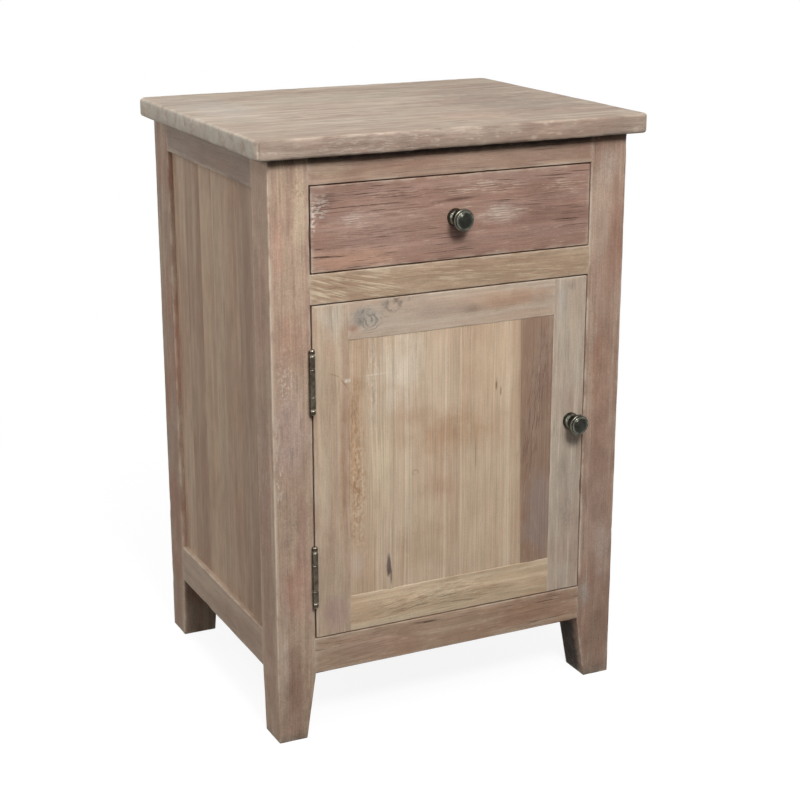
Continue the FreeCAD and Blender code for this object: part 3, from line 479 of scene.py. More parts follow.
MARKS["top_board"] = [
    stain(-190, 60, 70, 160, (196, 189, 178), 0.5),
    washes(-120, 30, 60, 30, (160, 130, 112), 0.4),
    washes(-60, -60, 90, 40, (152, 126, 110), 0.4),
    washes(90, -20, 90, 50, (154, 128, 114), 0.4),
    washes(-150, -40, 60, 60, (220, 208, 190), 0.4),
    washes(150, 60, 80, 60, (156, 132, 118), 0.4),
    washes(60, 110, 110, 50, (220, 208, 190), 0.35),
    stain(60, -120, 130, 60, (186, 158, 140), 0.5),
    stain(120, 10, 120, 46, (172, 146, 130), 0.5),
    stain(-40, 90, 150, 50, (198, 187, 168), 0.4),
    stain(0, 170, 220, 30, (176, 152, 134), 0.4),
    stain(130, -198, 130, 9, (166, 134, 116), 0.6),
    nicks(-100, -197, 120, 9, (222, 208, 194), 0.35),
    scratches(0, -197, 900, 9, (112, 92, 82), 0.35),
    stain(150, -40, 130, 190, (154, 138, 126), 0.75),
    stain(170, -120, 50, 30, (176, 146, 132), 0.5),
    washes(-20, 150, 110, 40, (160, 136, 120), 0.4),
]
MARKS["drawer_front"] = [
    stain(-100, 600, 90, 50, (182, 154, 140), 0.5),
    blotch(-130, 563, 80, 16, (188, 150, 128), 0.8),
    stain(115, 600, 90, 60, (138, 108, 96), 0.55),
    blotch(2, 618, 44, 3, (104, 78, 70), 0.8, tilt=3),
    scratches(40, 628, 80, 12, (206, 186, 168), 0.65),
    scratches(140, 624, 36, 14, (200, 178, 160), 0.55),
    scratches(-60, 630, 100, 10, (124, 96, 84), 0.6),
    scratches(-154, 628, 20, 12, (112, 90, 82), 0.8),
    blocks(-162, 620, 20, 24, (110, 88, 80), 0.6),
    dabs(-164, 618, 18, 30, (204, 190, 178), 0.65),
    dabs(-171, 604, 4.5, 34, (226, 214, 200), 0.85),
    scratches(-126, 604, 34, 12, (206, 188, 176), 0.7),
    scratches(-100, 590, 90, 14, (126, 96, 84), 0.55),
    figure(-70, 614, 90, 18, (118, 88, 76), 0.5),
    stain(62, 598, 46, 17, (190, 170, 156), 0.5),
    scratches(58, 598, 44, 15, (212, 196, 180), 0.7),
    scratches(110, 606, 70, 22, (136, 106, 94), 0.6),
    scratches(90, 575, 90, 14, (142, 110, 98), 0.6),
]
MARKS["door_stile_left"] = [
    stain(-158, 400, 22, 130, (200, 178, 152), 0.4),
    blotch(-148, 500, 25, 36, (206, 194, 175), 0.75, soft=0.1),
    blotch(-147, 434, 11, 1.1, (150, 124, 106), 0.7, tilt=-22),
    blotch(-137, 424, 12, 1.1, (140, 112, 92), 0.7, tilt=-52),
    blotch(-133, 426, 4, 3.4, (226, 214, 196), 0.9, soft=0.3),
    stain(-138, 320, 7, 130, (168, 130, 102), 0.6),
    stain(-160, 300, 8, 120, (204, 186, 164), 0.5),
    blotch(-150, 150, 22, 30, (184, 156, 146), 0.7),
]
MARKS["door_stile_right"] = [
    stain(140, 486, 10, 40, (178, 172, 162), 0.65),
    stain(159, 460, 10, 60, (200, 180, 155), 0.55),
    stain(154, 505, 7, 12, (146, 132, 120), 0.5),
    stain(156, 224, 12, 46, (158, 141, 129), 0.6),
    flakes(155, 222, 11, 38, (136, 119, 108), 0.45),
    stain(150, 148, 24, 24, (204, 190, 172), 0.5),
    blotch(150, 250, 20, 70, (178, 162, 146), 0.6),
]
MARKS["door_rail_top"] = [
    blotch(-125, 484, 12, 8, (164, 118, 98), 0.7),
    blotch(-104, 497, 26, 18, (192, 182, 168), 0.7),
    blotch(-110, 496, 21, 19, (170, 161, 149), 0.6),
    blotch(-117, 496, 9, 16, (150, 142, 133), 0.5),
    knot(-108, 496, 23, 21, (116, 108, 100), 0.5, rings=3.6),
    knot(-102, 493, 19, 19, (116, 108, 100), 0.45, rings=3.1),
    blotch(-86, 508, 10, 10, (150, 142, 132), 0.55),
    knot(-78, 506, 24, 17, (116, 108, 100), 0.55, rings=2.6),
    knot(-66, 506, 18, 15, (116, 108, 100), 0.5, rings=2.2),
    stain(24, 492, 18, 8, (148, 126, 112), 0.6),
    stain(70, 500, 80, 16, (192, 162, 134), 0.5),
    blotch(-20, 494, 60, 16, (184, 164, 148), 0.6),
    blotch(80, 498, 60, 14, (178, 144, 122), 0.7),
]
MARKS["door_rail_bottom"] = [
    figure(-60, 146, 70, 22, (146, 118, 90), 0.5, tilt=8),
    figure(40, 146, 90, 20, (150, 122, 94), 0.45, tilt=-4),
    nicks(-20, 150, 120, 20, (232, 216, 188), 0.45, tilt=4),
    blotch(80, 156, 50, 8, (208, 184, 152), 0.6),
]
MARKS["door_panel"] = [
    stain(-66, 428, 40, 60, (230, 215, 194), 0.75),
    stain(-92, 320, 22, 60, (222, 204, 172), 0.5),
    stain(-4, 350, 90, 36, (186, 150, 118), 0.65),
    stain(-50, 372, 40, 16, (190, 158, 130), 0.5),
    stain(-14, 284, 44, 24, (188, 154, 128), 0.6),
    stain(-34, 216, 50, 50, (182, 152, 124), 0.45),
    stain(50, 220, 50, 50, (222, 198, 170), 0.5),
    stain(50, 420, 44, 60, (216, 190, 158), 0.5),
    hairlines(-99, 420, 13, 90, (168, 160, 150), 0.45),
    runs(-102, 415, 11, 80, (232, 222, 208), 0.4),
    stain(-124, 330, 19, 150, (190, 150, 116), 0.75),
    runs(-124, 330, 16, 150, (150, 110, 80), 0.45),
    flakes(-120, 290, 16, 130, (226, 206, 178), 0.5),
    stain(-122, 205, 14, 26, (216, 194, 178), 0.6),
    blotch(-131, 426, 4, 3.4, (230, 218, 200), 0.9, soft=0.3),
    blotch(-92, 429, 38, 1.0, (232, 220, 204), 0.5, tilt=1),
    blotch(-82, 199, 3.6, 17, (88, 76, 78), 0.95, soft=0.45),
    blotch(-79, 184, 1.6, 15, (104, 86, 80), 0.8),
    stain(-84, 214, 8, 30, (186, 162, 146), 0.5),
    knot(-48, 306, 7, 5, (146, 112, 84), 0.75, rings=1.2),
    blotch(56, 398, 1.8, 12, (130, 100, 80), 0.8),
    blotch(62, 389, 1.5, 9, (134, 106, 86), 0.7),
    blotch(30, 320, 1.6, 30, (150, 120, 98), 0.5),
    blotch(118, 230, 29, 78, (160, 140, 130), 0.8, soft=0.3),
    stain(122, 400, 20, 80, (132, 102, 90), 0.6),
    figure(112, 400, 110, 18, (166, 146, 136), 0.55, tilt=82),
    figure(108, 360, 130, 20, (104, 78, 70), 0.5, tilt=82),
]


# Boards as meshes

SOFT_STEPS = (0.414, 1.0, 2.4, 6.0)
CORNER_STEPS = 7
SEAM_HALF = 0.6 * MM
POCKET_WALL = 0.02 * MM
ARRIS_WAVES = (0.021, 0.05, 0.13)
ARRIS_CHANGE = 0.45
LEAST_ARRIS = 0.2 * MM
WEAR_REACH = 2.2 * MM
CORNER_WEAR = 0.8
CORNER_REACH = 0.8
CHIP_REACH = (2.0 * MM, 5.0 * MM)
CHIP_DEPTH = (0.3 * MM, 0.9 * MM)
CHIP_STRETCH = 0.55
PITH_FAR = (0.09, 0.2)
PITH_NEAR = (0.01, 0.05)
GRAIN_STARTS = (0, 40)
NEAR = 1e-6


def mesh_lines(low, high, radius, pitch, extra):
    """Places of a board's mesh lines along one axis: close at the arrises, even between them."""
    lines = [low, high]
    for step in SOFT_STEPS:
        reach = radius * (1 - step) if step < 1 else radius * step
        if reach < (high - low) / 2:
            lines += [low + reach, high - reach]
    inset = min(SOFT_STEPS[-1] * radius, (high - low) / 2)
    count = max(1, round((high - low - 2 * inset) / pitch))
    lines += [low + inset + (high - low - 2 * inset) * step / count for step in range(count + 1)]
    return np.unique(np.round(np.array(lines + list(extra)), 7))


def box_skin(lines):
    """Points and faces of a box's surface on these mesh lines, with each face's axis."""
    shape = [len(line) for line in lines]
    skin = np.zeros(shape, bool)
    for axis in (X, Y, Z):
        for side in (0, -1):
            picked = [slice(None)] * 3
            picked[axis] = side
            skin[tuple(picked)] = True
    numbers = np.full(shape, -1)
    numbers[skin] = np.arange(skin.sum())
    points = np.stack(np.meshgrid(*lines, indexing="ij"), -1)[skin]
    faces, axes = [], []
    for axis in (X, Y, Z):
        for side in (0, -1):
            sheet = np.take(numbers, side, axis)
            quads = np.stack([sheet[:-1, :-1], sheet[1:, :-1], sheet[1:, 1:], sheet[:-1, 1:]], -1)
            quads = quads.reshape(-1, 4)
            if (axis == Y) == (side == -1):
                quads = quads[:, ::-1]
            faces.append(quads)
            axes.append(np.full(len(quads), axis))
    return points, np.concatenate(faces), np.concatenate(axes)


def waver(chance, points, lengths):
    """A smooth random value from -1 to 1 at each point, with waves of these lengths."""
    total = np.zeros(len(points))
    for length in lengths:
        way = np.array([chance.gauss(0, 1) for _ in range(3)])
        way *= 2 * math.pi / length / np.linalg.norm(way)
        total += np.sin(points @ way + chance.uniform(0, 2 * math.pi))
    return total / len(lengths)


def round_arrises(points, low, high, radius):
    """Move the points of a box's skin so that its arrises and corners are round."""
    radius = radius[:, None]
    inner = np.clip(points, low + radius, high - radius)
    out = points - inner
    length = np.linalg.norm(out, axis=1, keepdims=True)
    return inner + out * np.where(length > 0, radius / np.maximum(length, 1e-9), 0)


def round_corners(points, low, high, radius):
    """Round the four upright corners of a board, seen from above."""
    for sides in ((-1, -1), (-1, 1), (1, -1), (1, 1)):
        sides = np.array(sides)
        centre = np.where(sides > 0, high[:2] - radius, low[:2] + radius)
        offset = points[:, :2] - centre
        ahead = offset * sides
        length = np.maximum(np.linalg.norm(offset, axis=1), 1e-9)
        scale = np.where((ahead > 0).all(1), ahead.max(1) / length, 1)
        points[:, :2] = centre + offset * scale[:, None]
    return points


def chip_arrises(chance, points, low, high, along, count):
    """Small knocks on the long arrises."""
    cross = [axis for axis in (X, Y, Z) if axis != along]
    for _ in range(count):
        centre, inward = np.zeros(3), np.zeros(3)
        centre[along] = chance.uniform(low[along], high[along])
        for axis in cross:
            upper = chance.random() < 0.5
            centre[axis] = high[axis] if upper else low[axis]
            inward[axis] = -1 if upper else 1
        reach = chance.uniform(*CHIP_REACH)
        depth = chance.uniform(*CHIP_DEPTH)
        offset = points - centre
        offset[:, along] *= CHIP_STRETCH
        fall = np.exp(-(offset ** 2).sum(1) / reach ** 2)
        points += fall[:, None] * inward * depth / math.sqrt(2)
    return points


def add_mesh(name, points, faces, material):
    mesh = bpy.data.meshes.new(name)
    mesh.from_pydata(points.tolist(), [], faces)
    mesh.shade_smooth()
    mesh.materials.append(material)
    piece = bpy.data.objects.new(name, mesh)
    bpy.context.collection.objects.link(piece)
    return piece


def add_values(piece, name, kind, domain, values):
    field = {"FLOAT": "value", "FLOAT_VECTOR": "vector", "FLOAT_COLOR": "color"}[kind]
    attribute = piece.data.attributes.new(name, kind, domain)
    attribute.data.foreach_set(field, np.ascontiguousarray(values, np.float32).ravel())


def make_board(node, low, high, along, material, ease=1.0, seams=(), tints=None, pitch=6.0, pockets=(),
               shape=None, chips=5, groove=0.3, quarter=False, edge_tint=(1, 1, 1), corner=0.0):
    """One board, or several glued side by side, in place of a node of the frame."""
    chance = random.Random(node)
    low, high = np.array(low), np.array(high)
    cross = (axis for axis in (X, Y, Z) if axis != along)
    thick, across = sorted(cross, key=lambda axis: high[axis] - low[axis])
    radius = ease * MM
    extra = {X: [], Y: [], Z: []}
    for seam in seams:
        extra[across] += [seam - SEAM_HALF, seam, seam + SEAM_HALF]
    for _, _, rectangle, _ in pockets:
        for other, (start, stop) in rectangle.items():
            extra[other] += [at + wall for at in (start, stop) for wall in (-POCKET_WALL, POCKET_WALL)]
    if corner:
        for axis in (X, Y):
            for share in np.linspace(0, 1, CORNER_STEPS + 1)[1:]:
                extra[axis] += [low[axis] + corner * share, high[axis] - corner * share]
    for axis in extra:
        extra[axis] = [at for at in extra[axis] if low[axis] < at < high[axis]]
    step = {along: pitch * MM, across: 2 * pitch * MM, thick: 2 * pitch * MM}
    lines = [mesh_lines(low[axis], high[axis], radius, step[axis], extra[axis]) for axis in (X, Y, Z)]
    flat, faces, face_axes = box_skin(lines)
    edges = np.array([low[across], *sorted(seams), high[across]])
    plank = np.searchsorted(edges[1:-1], flat[faces].mean(1)[:, across])

    worn = radius * (1 + ARRIS_CHANGE * waver(chance, flat, ARRIS_WAVES))
    points = round_arrises(flat, low, high, np.clip(worn, LEAST_ARRIS, None))
    if corner:
        points = round_corners(points, low, high, corner)
    for seam in seams:
        on_seam = np.abs(flat[:, across] - seam) < NEAR
        for axis in (thick, along):
            for face, way in ((low[axis], 1), (high[axis], -1)):
                pressed = on_seam & (np.abs(flat[:, axis] - face) < NEAR)
                points[pressed, axis] += way * groove * MM
    points = chip_arrises(chance, points, low, high, along, chips)
    for axis, side, rectangle, depth in pockets:
        inside = np.abs(flat[:, axis] - (low if side < 0 else high)[axis]) < NEAR
        for other, (start, stop) in rectangle.items():
            inside &= (flat[:, other] > start) & (flat[:, other] < stop)
        points[inside, axis] -= side * depth
    if shape:
        points = shape(points)

    piece = add_mesh(node, points, faces.tolist(), material)
    count = len(seams) + 1
    origins = []
    for _ in range(count):
        far, near = chance.uniform(*PITH_FAR), chance.uniform(*PITH_NEAR)
        side = chance.choice((-1, 1))
        pith = (side * far, near) if quarter else (side * near, -far)
        origins.append((chance.uniform(*GRAIN_STARTS), *pith))
    origins = np.array(origins)[plank]
    corners = points[faces]
    plank_middles = ((edges[:-1] + edges[1:]) / 2)[plank]
    grain = np.stack([
        corners[:, :, along] + origins[:, 0:1],
        corners[:, :, across] - plank_middles[:, None] + origins[:, 1:2],
        corners[:, :, thick] - (low[thick] + high[thick]) / 2 + origins[:, 2:3],
    ], -1)
    add_values(piece, "grain", "FLOAT_VECTOR", "CORNER", grain)
    shades = np.array(tints or [(1, 1, 1)] * count)
    shades = np.concatenate([shades, np.ones((count, 1))], 1)[plank]
    shades[face_axes == across, :3] *= edge_tint
    add_values(piece, "tint", "FLOAT_COLOR", "CORNER", np.repeat(shades[:, None], 4, 1))
    add_values(piece, "end", "FLOAT", "CORNER", np.repeat((face_axes == along)[:, None], 4, 1))
    inset = np.minimum(flat - low, high - flat)
    wear = np.exp(-(np.sort(inset, 1)[:, 1] / WEAR_REACH) ** 2)
    if corner:
        reach = np.linalg.norm(inset[:, :2], axis=1) / (CORNER_REACH * corner)
        wear = np.maximum(wear, CORNER_WEAR * np.exp(-reach ** 2))
    add_values(piece, "wear", "FLOAT", "POINT", wear)
    return piece


def fit(piece, body, slot, *nodes):
    """Put a piece in the place of its nodes and on their body; the slot is not used."""
    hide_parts(*nodes)
    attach(piece, body)


def lay_board(body, slot, node, box, along, material, **settings):
    """Make a board and put it in the place of its node."""
    fit(make_board(node, *box, along, material, **settings), body, slot, node)


def glue_lines(start, widths):
    """Where boards of these widths, in millimetres, meet side by side; the last board takes the rest."""
    return [start + width * MM for width in accumulate(widths)]


# Boxes of the visible boards, from the frame

def cut(node, **limits):
    """A node's box with some of its sides moved, such as x_low, so that hidden tenons are left out."""
    corners = [list(corner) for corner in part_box(node)]
    for name, value in limits.items():
        axis, end = name.split("_")
        corners[end == "high"]["xyz".index(axis)] = value
    return corners


LEG = {(end, side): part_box(f"leg_{end}_{side}") for end in ("front", "back") for side in (LEFT, RIGHT)}
OPENING_LEFT = LEG["front", LEFT][1].x
OPENING_RIGHT = LEG["front", RIGHT][0].x
FRONT_LEGS_BACK = LEG["front", LEFT][1].y
BACK_LEGS_FRONT = LEG["back", LEFT][0].y
STILE_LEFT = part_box("door_stile_left")
STILE_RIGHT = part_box("door_stile_right")
LAP = 0.8 * MM

BETWEEN_LEGS = {"x_low": OPENING_LEFT - LAP, "x_high": OPENING_RIGHT + LAP}

# Foot sizes, as in the solids
FOOT_HEIGHT = 78 * MM
FOOT_TAPER = {"front": (12 * MM, 6 * MM), "back": (4 * MM, 6 * MM)}

LEG_WEAR = {"front": 0.75, "back": 0.4}
POCKET_ROOM = 0.3 * MM
POCKET_DEPTH = 1.25 * MM
DRAWER_TRIM = 0.15 * MM
TOP_CORNER = 10 * MM
SLANT = 6 * MM
SLANT_REACH = 24 * MM


def taper(end, side):
    """Draw the two inner faces of a foot in towards the floor."""
    low, high = LEG[end, side]
    narrow, shallow = FOOT_TAPER[end]

    def shape(points):
        share = np.clip(1 - points[:, Z] / FOOT_HEIGHT, 0, 1)
        across = (points[:, X] - low.x) / (high.x - low.x)
        deep = (points[:, Y] - low.y) / (high.y - low.y)
        points[:, X] += share * narrow * (-across if side == LEFT else 1 - across)
        points[:, Y] += share * shallow * (-deep if end == "front" else 1 - deep)
        return points
    return shape


def leaf_pockets(kind, side):
    """Shallow recesses that take the two hinge leaves, in a board's left (-1) or right (1) face."""
    pockets = []
    for level in ("upper", "lower"):
        low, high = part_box(f"hinge_{level}_{kind}_leaf")
        rectangle = {Y: (low.y, high.y + POCKET_ROOM), Z: (low.z, high.z)}
        pockets.append((X, side, rectangle, POCKET_DEPTH))
    return pockets


def build_legs():
    tones = {
        ("front", LEFT): ((178, 152, 132), (174, 142, 126), (196, 174, 150)),
        ("front", RIGHT): ((173, 147, 130), (167, 134, 116), (188, 166, 147)),
        ("back", LEFT): ((166, 144, 126), (160, 122, 104), (184, 164, 142)),
        ("back", RIGHT): ((174, 148, 130), (168, 134, 118), (188, 164, 146)),
    }
    for (end, side), box in LEG.items():
        node = f"leg_{end}_{side}"
        material = wood(f"{node}_wood", tones[end, side], MARKS.get(node, ()), dashes=0.2, flecks=0.25,
                        specks=0.6, fibres=0.45, mottle=0.65, worn=LEG_WEAR[end])
        pockets = leaf_pockets("frame", 1) if (end, side) == ("front", LEFT) else ()
        lay_board("cabinet", "frame_wood", node, box, Z, material, ease=1.6, shape=taper(end, side),
                  pockets=pockets, chips=8)


def build_front_rails():
    rails = {
        "front_top_rail": (((172, 144, 126), (162, 130, 112), (190, 168, 148)), {"dashes": 0.4}),
        "front_middle_rail": (((173, 148, 124), (170, 142, 119), (187, 165, 140)),
                              {"rings": 0.4, "fibres": 0.7}),
        "front_bottom_rail": (((178, 151, 129), (172, 140, 117), (192, 168, 146)),
                              {"dashes": 0.6, "rings": 0.5, "flecks": 0.4}),
    }
    for node, (tones, settings) in rails.items():
        material = wood(f"{node}_wood", tones, MARKS[node], **settings)
        lay_board("cabinet", "frame_wood", node, cut(node, **BETWEEN_LEGS), X, material, ease=0.8)


def build_sides():
    tones = ((180, 157, 137), (168, 142, 123), (190, 171, 151))
    limits = {"y_low": FRONT_LEGS_BACK - LAP, "y_high": BACK_LEGS_FRONT + LAP}
    # The top rails' tint is painted shade under the overhang of the top; the bottom rails' tint only darkens
    # them a little.
    rail_tints_and_shade = {"top": (0.70, 0.72, 0.76), "bottom": (0.94, 0.95, 0.97)}
    widths = (67, 49, 36, 41, 52)
    tints = [
        (0.84, 0.81, 0.79), (0.96, 0.91, 0.87), (1.04, 1.03, 0.99),
        (1.10, 1.08, 1.02), (0.90, 0.86, 0.83), (1.14, 1.13, 1.10),
    ]
    for side in (LEFT, RIGHT):
        material = wood(f"side_{side}_wood", tones, face="side", dashes=0.25, flecks=0.1, bands=0.4,
                        streaks=0.3, mottle=0.5)
        for level, tint in rail_tints_and_shade.items():
            node = f"side_{level}_rail_{side}"
            lay_board("cabinet", "frame_wood", node, cut(node, **limits), Y, material, ease=0.9, tints=[tint])
        node = f"side_panel_{side}"
        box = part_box(node)
        seams = glue_lines(box[0].y, widths)
        lay_board("cabinet", "frame_wood", node, box, Z, material, ease=0.5, seams=seams, tints=tints,
                  chips=0)


def build_back():
    material = wood("back_wood", ((172, 148, 126), (160, 134, 114), (188, 168, 144)))
    for node in ("back_top_rail", "back_bottom_rail"):
        lay_board("cabinet", "frame_wood", node, cut(node, **BETWEEN_LEGS), X, material, ease=0.9)
    plain = wood("back_panel_wood", ((182, 158, 130), (170, 142, 116), (196, 176, 148)), flecks=0.1)
    node = "back_panel"
    lay_board("cabinet", "inside_wood", node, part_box(node), Z, plain, ease=0.4, chips=0, pitch=12)


def build_top():
    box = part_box("top_board")
    seams = glue_lines(box[0].y, (66, 98, 88, 96))
    pale = (1.10, 1.09, 1.08)
    tints = [(0.94, 0.92, 0.91), (1.01, 1.0, 0.99), pale, (1.01, 0.99, 0.98), pale]
    tones = ((179, 164, 148), (170, 151, 136), (195, 183, 168))
    material = wood("top_wood", tones, MARKS["top_board"], face="top", rings=0.2, mottle=0.6, fibres=0.45,
                    streaks=0.4, worn=0.35, fine=0.26, specks=0.1)
    lay_board("cabinet", "top_wood", "top_board", box, X, material, ease=3.6, seams=seams, tints=tints,
              chips=10, groove=0.15, edge_tint=(0.90, 0.86, 0.86), corner=TOP_CORNER)


def build_drawer_front():
    low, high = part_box("drawer_front")
    low.x += DRAWER_TRIM
    high.x -= DRAWER_TRIM
    tones = ((158, 126, 111), (164, 130, 114), (174, 148, 136))
    material = wood("drawer_front_wood", tones, MARKS["drawer_front"], bands=0.35, dashes=0.7, flecks=0.35,
                    fibres=0.8)
    lay_board("drawer", "drawer_wood", "drawer_front", (low, high), X, material, ease=0.8)


def build_door():
    boards = {
        "door_stile_left": (Z, ((194, 170, 147), (187, 156, 134), (210, 190, 164)), {"dashes": 0.2}),
        "door_stile_right": (Z, ((194, 178, 160), (188, 165, 147), (216, 204, 187)), {"dashes": 0.2}),
        "door_rail_top": (X, ((192, 173, 155), (188, 162, 141), (204, 188, 169)),
                          {"dashes": 0.05, "flecks": 0.1, "fibres": 0.4}),
        "door_rail_bottom": (X, ((206, 181, 151), (200, 170, 139), (220, 201, 172)), {"rings": 0.5}),
    }
    inner = {"x_low": STILE_LEFT[1].x - LAP, "x_high": STILE_RIGHT[0].x + LAP}
    for node, (along, tones, settings) in boards.items():
        box = cut(node, **inner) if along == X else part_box(node)
        material = wood(f"{node}_wood", tones, MARKS[node], **settings)
        pockets = leaf_pockets("door", -1) if node == "door_stile_left" else ()
        lay_board("door", "door_wood", node, box, along, material, ease=0.7, pockets=pockets)
    build_door_panel()


def build_door_panel():
    low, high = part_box("door_panel")
    seams = glue_lines(low.x, (62, 84, 80))
    slant = SLANT / (high.z - low.z)

    def shape(points):
        """Lean the last seam, as the dark board is wider at its foot."""
        near = np.clip(1 - np.abs(points[:, X] - seams[-1]) / SLANT_REACH, 0, 1)
        points[:, X] -= near * slant * (points[:, Z] - (low.z + high.z) / 2)
        return points

    tints = [(0.97, 0.96, 0.94), (1.0, 1.0, 1.0), (1.0, 0.99, 0.97), (0.54, 0.47, 0.46)]
    tones = ((211, 187, 161), (202, 173, 147), (223, 205, 181))
    material = wood("door_panel_wood", tones, MARKS["door_panel"], rings=0.34, dashes=0.08, flecks=0.25,
                    bands=0.5, fibres=0.7, mottle=0.35, pins=0.03, length=3.0)
    lay_board("door", "door_wood", "door_panel", (low, high), Z, material, ease=0.5, seams=seams, tints=tints,
              chips=0, shape=shape, quarter=True)


# Knobs and hinges

# Paler metal for rubbed edges, also used to paint highlights on the knobs and hinges
RUBBED_AND_HIGHLIGHT_BRONZE = dye(168, 165, 150)
RUB_AND_HIGHLIGHT_WIDTH = 0.9 * MM


def bronze(name, dark, light):
    """Dark bronze, brighter on its rubbed raised edges and where highlights are painted on."""
    finish = Finish(name)
    place = finish.place()
    wear = finish.attribute("wear", "Fac")
    cloud = finish.noise(place, 160, 4.0, 0.6)
    grit = finish.noise(place, 1500)
    colour = finish.mix(dye(*dark), dye(*light), finish.ramp(cloud, 0.42, 0.66))
    colour = finish.mix(colour, RUBBED_AND_HIGHLIGHT_BRONZE, wear * finish.ramp(cloud, 0.25, 0.6) * 0.8)
    finish.set(base_color=colour, metallic=1.0, roughness=0.24 + (cloud - 0.5) * 0.2,
               normal=finish.bump(grit * 0.4 + cloud, 0.1 * MM, 0.3))
    return finish.owner


def steel(name):
    finish = Finish(name)
    place = finish.place()
    cloud = finish.noise(place, 400, 3.0)
    colour = finish.mix(dye(150, 146, 138), dye(190, 186, 178), finish.ramp(cloud, 0.4, 0.6))
    finish.set(base_color=colour, metallic=1.0, roughness=0.38 + (cloud - 0.5) * 0.3)
    return finish.owner


def plastic(name):
    finish = Finish(name)
    place = finish.place()
    grit = finish.noise(place, 1800, 1.0)
    colour = finish.shaded(dye(112, 84, 60), 1 + (grit - 0.5) * 0.3)
    finish.set(base_color=colour, roughness=0.55 + (grit - 0.5) * 0.2,
               normal=finish.bump(grit, 0.05 * MM, 0.5))
    return finish.owner


# Radius and reach in millimetres, from the flange on the wood to the middle of the face
KNOB_OUTLINE = (
    (10.0, 0.0), (10.0, 1.0), (9.8, 1.4), (9.5, 1.6), (9.8, 2.0), (10.0, 2.8), (9.9, 3.9), (9.5, 5.0),
    (8.9, 6.0), (8.2, 6.9), (7.6, 7.8), (7.3, 9.2), (7.3, 11.0), (7.3, 13.0), (7.6, 14.6), (8.7, 16.2),
    (10.4, 17.6), (11.8, 18.3), (12.4, 18.9), (12.6, 20.0), (12.5, 21.1), (11.9, 21.8), (11.0, 21.9),
    (10.6, 22.1), (10.7, 22.7), (10.6, 23.6), (10.2, 24.1), (9.4, 24.2), (8.8, 24.3), (8.2, 24.9),
    (6.0, 26.0), (3.0, 26.8), (1.2, 27.0), (0.0, 27.0),
)
FINIAL_OUTLINE = (
    (1.6, -3.0), (2.8, -0.2), (2.8, 1.0), (3.3, 1.5), (3.4, 2.8), (3.4, 4.4), (3.2, 5.6), (2.5, 6.5),
    (1.4, 7.0), (0.0, 7.1),
)
# Reach and width in millimetres of each bright band, and how bright it is: a painted highlight on the collar,
# and wear with a painted highlight on the two rims of the head
KNOB_RUBBED_AND_HIGHLIGHT = ((5.6, 1.6, 0.5), (21.4, 0.5, 0.5), (23.9, 0.4, 0.55))
TURNED_SIDES = 64


def smooth_outline(outline, passes=2):
    """Cut the corners of an outline, keeping its ends."""
    points = np.array(outline, float)
    for _ in range(passes):
        before, after = points[:-1], points[1:]
        cut_points = np.stack([before * 0.75 + after * 0.25, before * 0.25 + after * 0.75], 1).reshape(-1, 2)
        points = np.concatenate([points[:1], cut_points, points[-1:]])
    return points


def turned(outline, foot, way):
    """Points and faces of a turned solid: an outline of radius and reach, in metres, along a way."""
    way, side_way = np.array(way, float), np.array((1.0, 0, 0))
    turns = np.linspace(0, 2 * math.pi, TURNED_SIDES, endpoint=False)[:, None]
    circle = np.cos(turns) * side_way + np.sin(turns) * np.cross(way, side_way)
    rings = [np.array(foot) + way * reach + circle * radius for radius, reach in outline if radius > 0]
    first = np.arange(TURNED_SIDES)
    after = (first + 1) % TURNED_SIDES
    quads = np.stack([first, after, after + TURNED_SIDES, first + TURNED_SIDES], 1)
    last = (len(rings) - 1) * TURNED_SIDES
    faces = [quad for start in range(0, last, TURNED_SIDES) for quad in (quads + start).tolist()]
    faces += [first[::-1].tolist(), (first + last).tolist()]
    return np.vstack(rings), faces


def joined(*solids):
    """Points and faces of several solids as one mesh."""
    points, faces, start = [], [], 0
    for own_points, own_faces in solids:
        points.append(own_points)
        faces += [[corner + start for corner in face] for face in own_faces]
        start += len(own_points)
    return np.vstack(points), faces


def build_knob(node, body, material):
    low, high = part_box(node)
    middle = (low + high) / 2
    outline = smooth_outline(KNOB_OUTLINE) * MM
    points, faces = turned(outline, (middle.x, high.y, middle.z), (0, -1, 0))
    knob = add_mesh(node, points, faces, material)
    reaches = np.array([reach for radius, reach in outline if radius > 0])
    # Bright bands: rubbed rims with painted highlights, and a painted highlight on the collar
    rubbed_and_highlight_bands = sum(share * np.exp(-((reaches - middle_reach * MM) / (width * MM)) ** 2)
               for middle_reach, width, share in KNOB_RUBBED_AND_HIGHLIGHT)
    add_values(knob, "wear", "FLOAT", "POINT", np.repeat(rubbed_and_highlight_bands, TURNED_SIDES))
    fit(knob, body, "dark_bronze", node)


DOOR_SWING = next(joint for joint in frame["record"]["behaviour"]["joints"] if joint["name"] == "door_swing")
HINGE_AXIS = Vector(DOOR_SWING["pos_m"][:2])
# Radius and reach in millimetres of a knuckle's rounded end
KNUCKLE_ENDS = ((2.2, 0.0), (2.9, 0.15), (3.3, 0.6), (3.5, 1.3))
LEAF_WIDTH = 18 * MM
LEAF_THICKNESS = 1.2 * MM
LEAF_SINK = 0.15 * MM
LEAF_EASE = 0.25 * MM
LEAF_PITCH = 20 * MM
KNUCKLE_JOINTS = (15 * MM, 46.5 * MM)
KNUCKLE_GAP = 0.15 * MM
FINIAL_NECK = 0.6 * MM
FINIAL_TOP = 6.4 * MM


def knuckle(low, high):
    """One knuckle of a barrel, with its ends rounded."""
    ends = np.array(KNUCKLE_ENDS) * MM
    far = np.stack([ends[::-1, 0], high - low - ends[::-1, 1]], 1)
    return turned(np.concatenate([ends, far]), (*HINGE_AXIS, low), (0, 0, 1))


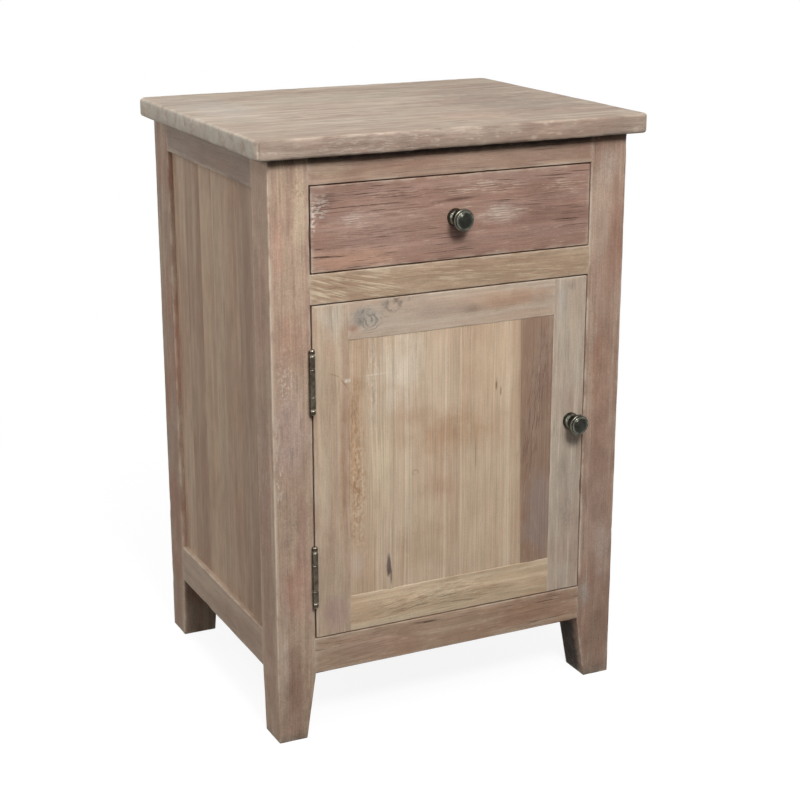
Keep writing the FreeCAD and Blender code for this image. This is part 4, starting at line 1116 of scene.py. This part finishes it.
def leaf_plate(low, high):
    """A flat plate with eased edges."""
    low, high = np.array(low), np.array(high)
    lines = [mesh_lines(low[axis], high[axis], LEAF_EASE, LEAF_PITCH, ()) for axis in (X, Y, Z)]
    flat, faces, _ = box_skin(lines)
    return round_arrises(flat, low, high, np.full(len(flat), LEAF_EASE)), faces.tolist()


def rub_and_highlight(piece, levels):
    """Rub the metal bright near these levels, where edges stand proud; this also paints highlights on the
    knuckle ends and finials.
    """
    heights = np.array([point.co.z for point in piece.data.vertices])
    near = [np.exp(-((heights - level) / RUB_AND_HIGHLIGHT_WIDTH) ** 2) for level in levels]
    add_values(piece, "wear", "FLOAT", "POINT", np.max(near, 0))


def make_leaf(node, body, material, face, ends):
    """One leaf: a plate in its recess, and for each knuckle a tab that reaches out to the barrel."""
    low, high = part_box(node)
    back = high.y - LEAF_WIDTH
    far = face + LEAF_THICKNESS
    solids = [leaf_plate((face, back, low.z), (far, high.y, high.z))]
    for bottom, top in ends:
        solids.append(leaf_plate((face, HINGE_AXIS.y, bottom), (far, back + LAP, top)))
        solids.append(knuckle(bottom, top))
    leaf = add_mesh(node, *joined(*solids), material)
    rub_and_highlight(leaf, [at for end in ends for at in end])
    fit(leaf, body, "dark_bronze", node)


def build_hinges(material):
    outline = smooth_outline(FINIAL_OUTLINE) * MM
    for level in ("upper", "lower"):
        low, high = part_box(f"hinge_{level}_frame_leaf")
        first, second = (low.z + joint for joint in KNUCKLE_JOINTS)
        outer = (low.z, first - KNUCKLE_GAP), (second + KNUCKLE_GAP, high.z)
        inner = [(first + KNUCKLE_GAP, second - KNUCKLE_GAP)]
        frame_face = OPENING_LEFT - LEAF_SINK - LEAF_THICKNESS
        make_leaf(f"hinge_{level}_frame_leaf", "cabinet", material, frame_face, outer)
        make_leaf(f"hinge_{level}_door_leaf", "door", material, STILE_LEFT[0].x + LEAF_SINK, inner)
        upper = turned(outline, (*HINGE_AXIS, high.z), (0, 0, 1))
        lower = turned(outline, (*HINGE_AXIS, low.z), (0, 0, -1))
        pin = add_mesh(f"hinge_{level}_pin", *joined(upper, lower), material)
        rub_and_highlight(pin, (low.z - FINIAL_TOP, low.z - FINIAL_NECK, high.z + FINIAL_NECK, high.z + FINIAL_TOP))
        fit(pin, "cabinet", "dark_bronze", f"hinge_{level}_pin")


def finish_metal():
    dark = bronze("dark_bronze_finish", (44, 45, 40), (60, 60, 53))
    brown = bronze("brown_bronze_finish", (62, 55, 46), (82, 73, 61))
    build_knob("drawer_knob", "drawer", dark)
    build_knob("door_knob", "door", dark)
    build_hinges(brown)
    bright = steel("screw_steel_finish")
    slots = {part["node"]: part["material_slot"] for part in frame["record"]["subparts"]}
    for node, piece in frame["nodes"].items():
        if slots[node] == "screw_steel":
            dress(piece, brown if node.startswith("hinge") else bright)
        elif slots[node] == "catch_plastic":
            dress(piece, plastic("catch_plastic_finish"))


def dress(piece, material):
    """Give a node of the frame its finish."""
    piece.data.materials.clear()
    piece.data.materials.append(material)


INSIDE_GRAIN = {
    "cabinet_floor": X, "drawer_back": X, "drawer_bottom": X,
    "floor_cleat": Y, "drawer_runner": Y, "drawer_guide": Y,
    "drawer_kicker": Y, "drawer_stop": Y, "drawer_side": Y,
}


def finish_inside():
    woods = {axis: sawn_wood(f"inside_wood_{'xyz'[axis]}", axis) for axis in (X, Y)}
    for node, piece in frame["nodes"].items():
        for stem, axis in INSIDE_GRAIN.items():
            if node.startswith(stem):
                dress(piece, woods[axis])


place_camera()
light_studio()
build_legs()
build_front_rails()
build_sides()
build_back()
build_top()
build_drawer_front()
build_door()
finish_metal()
finish_inside()
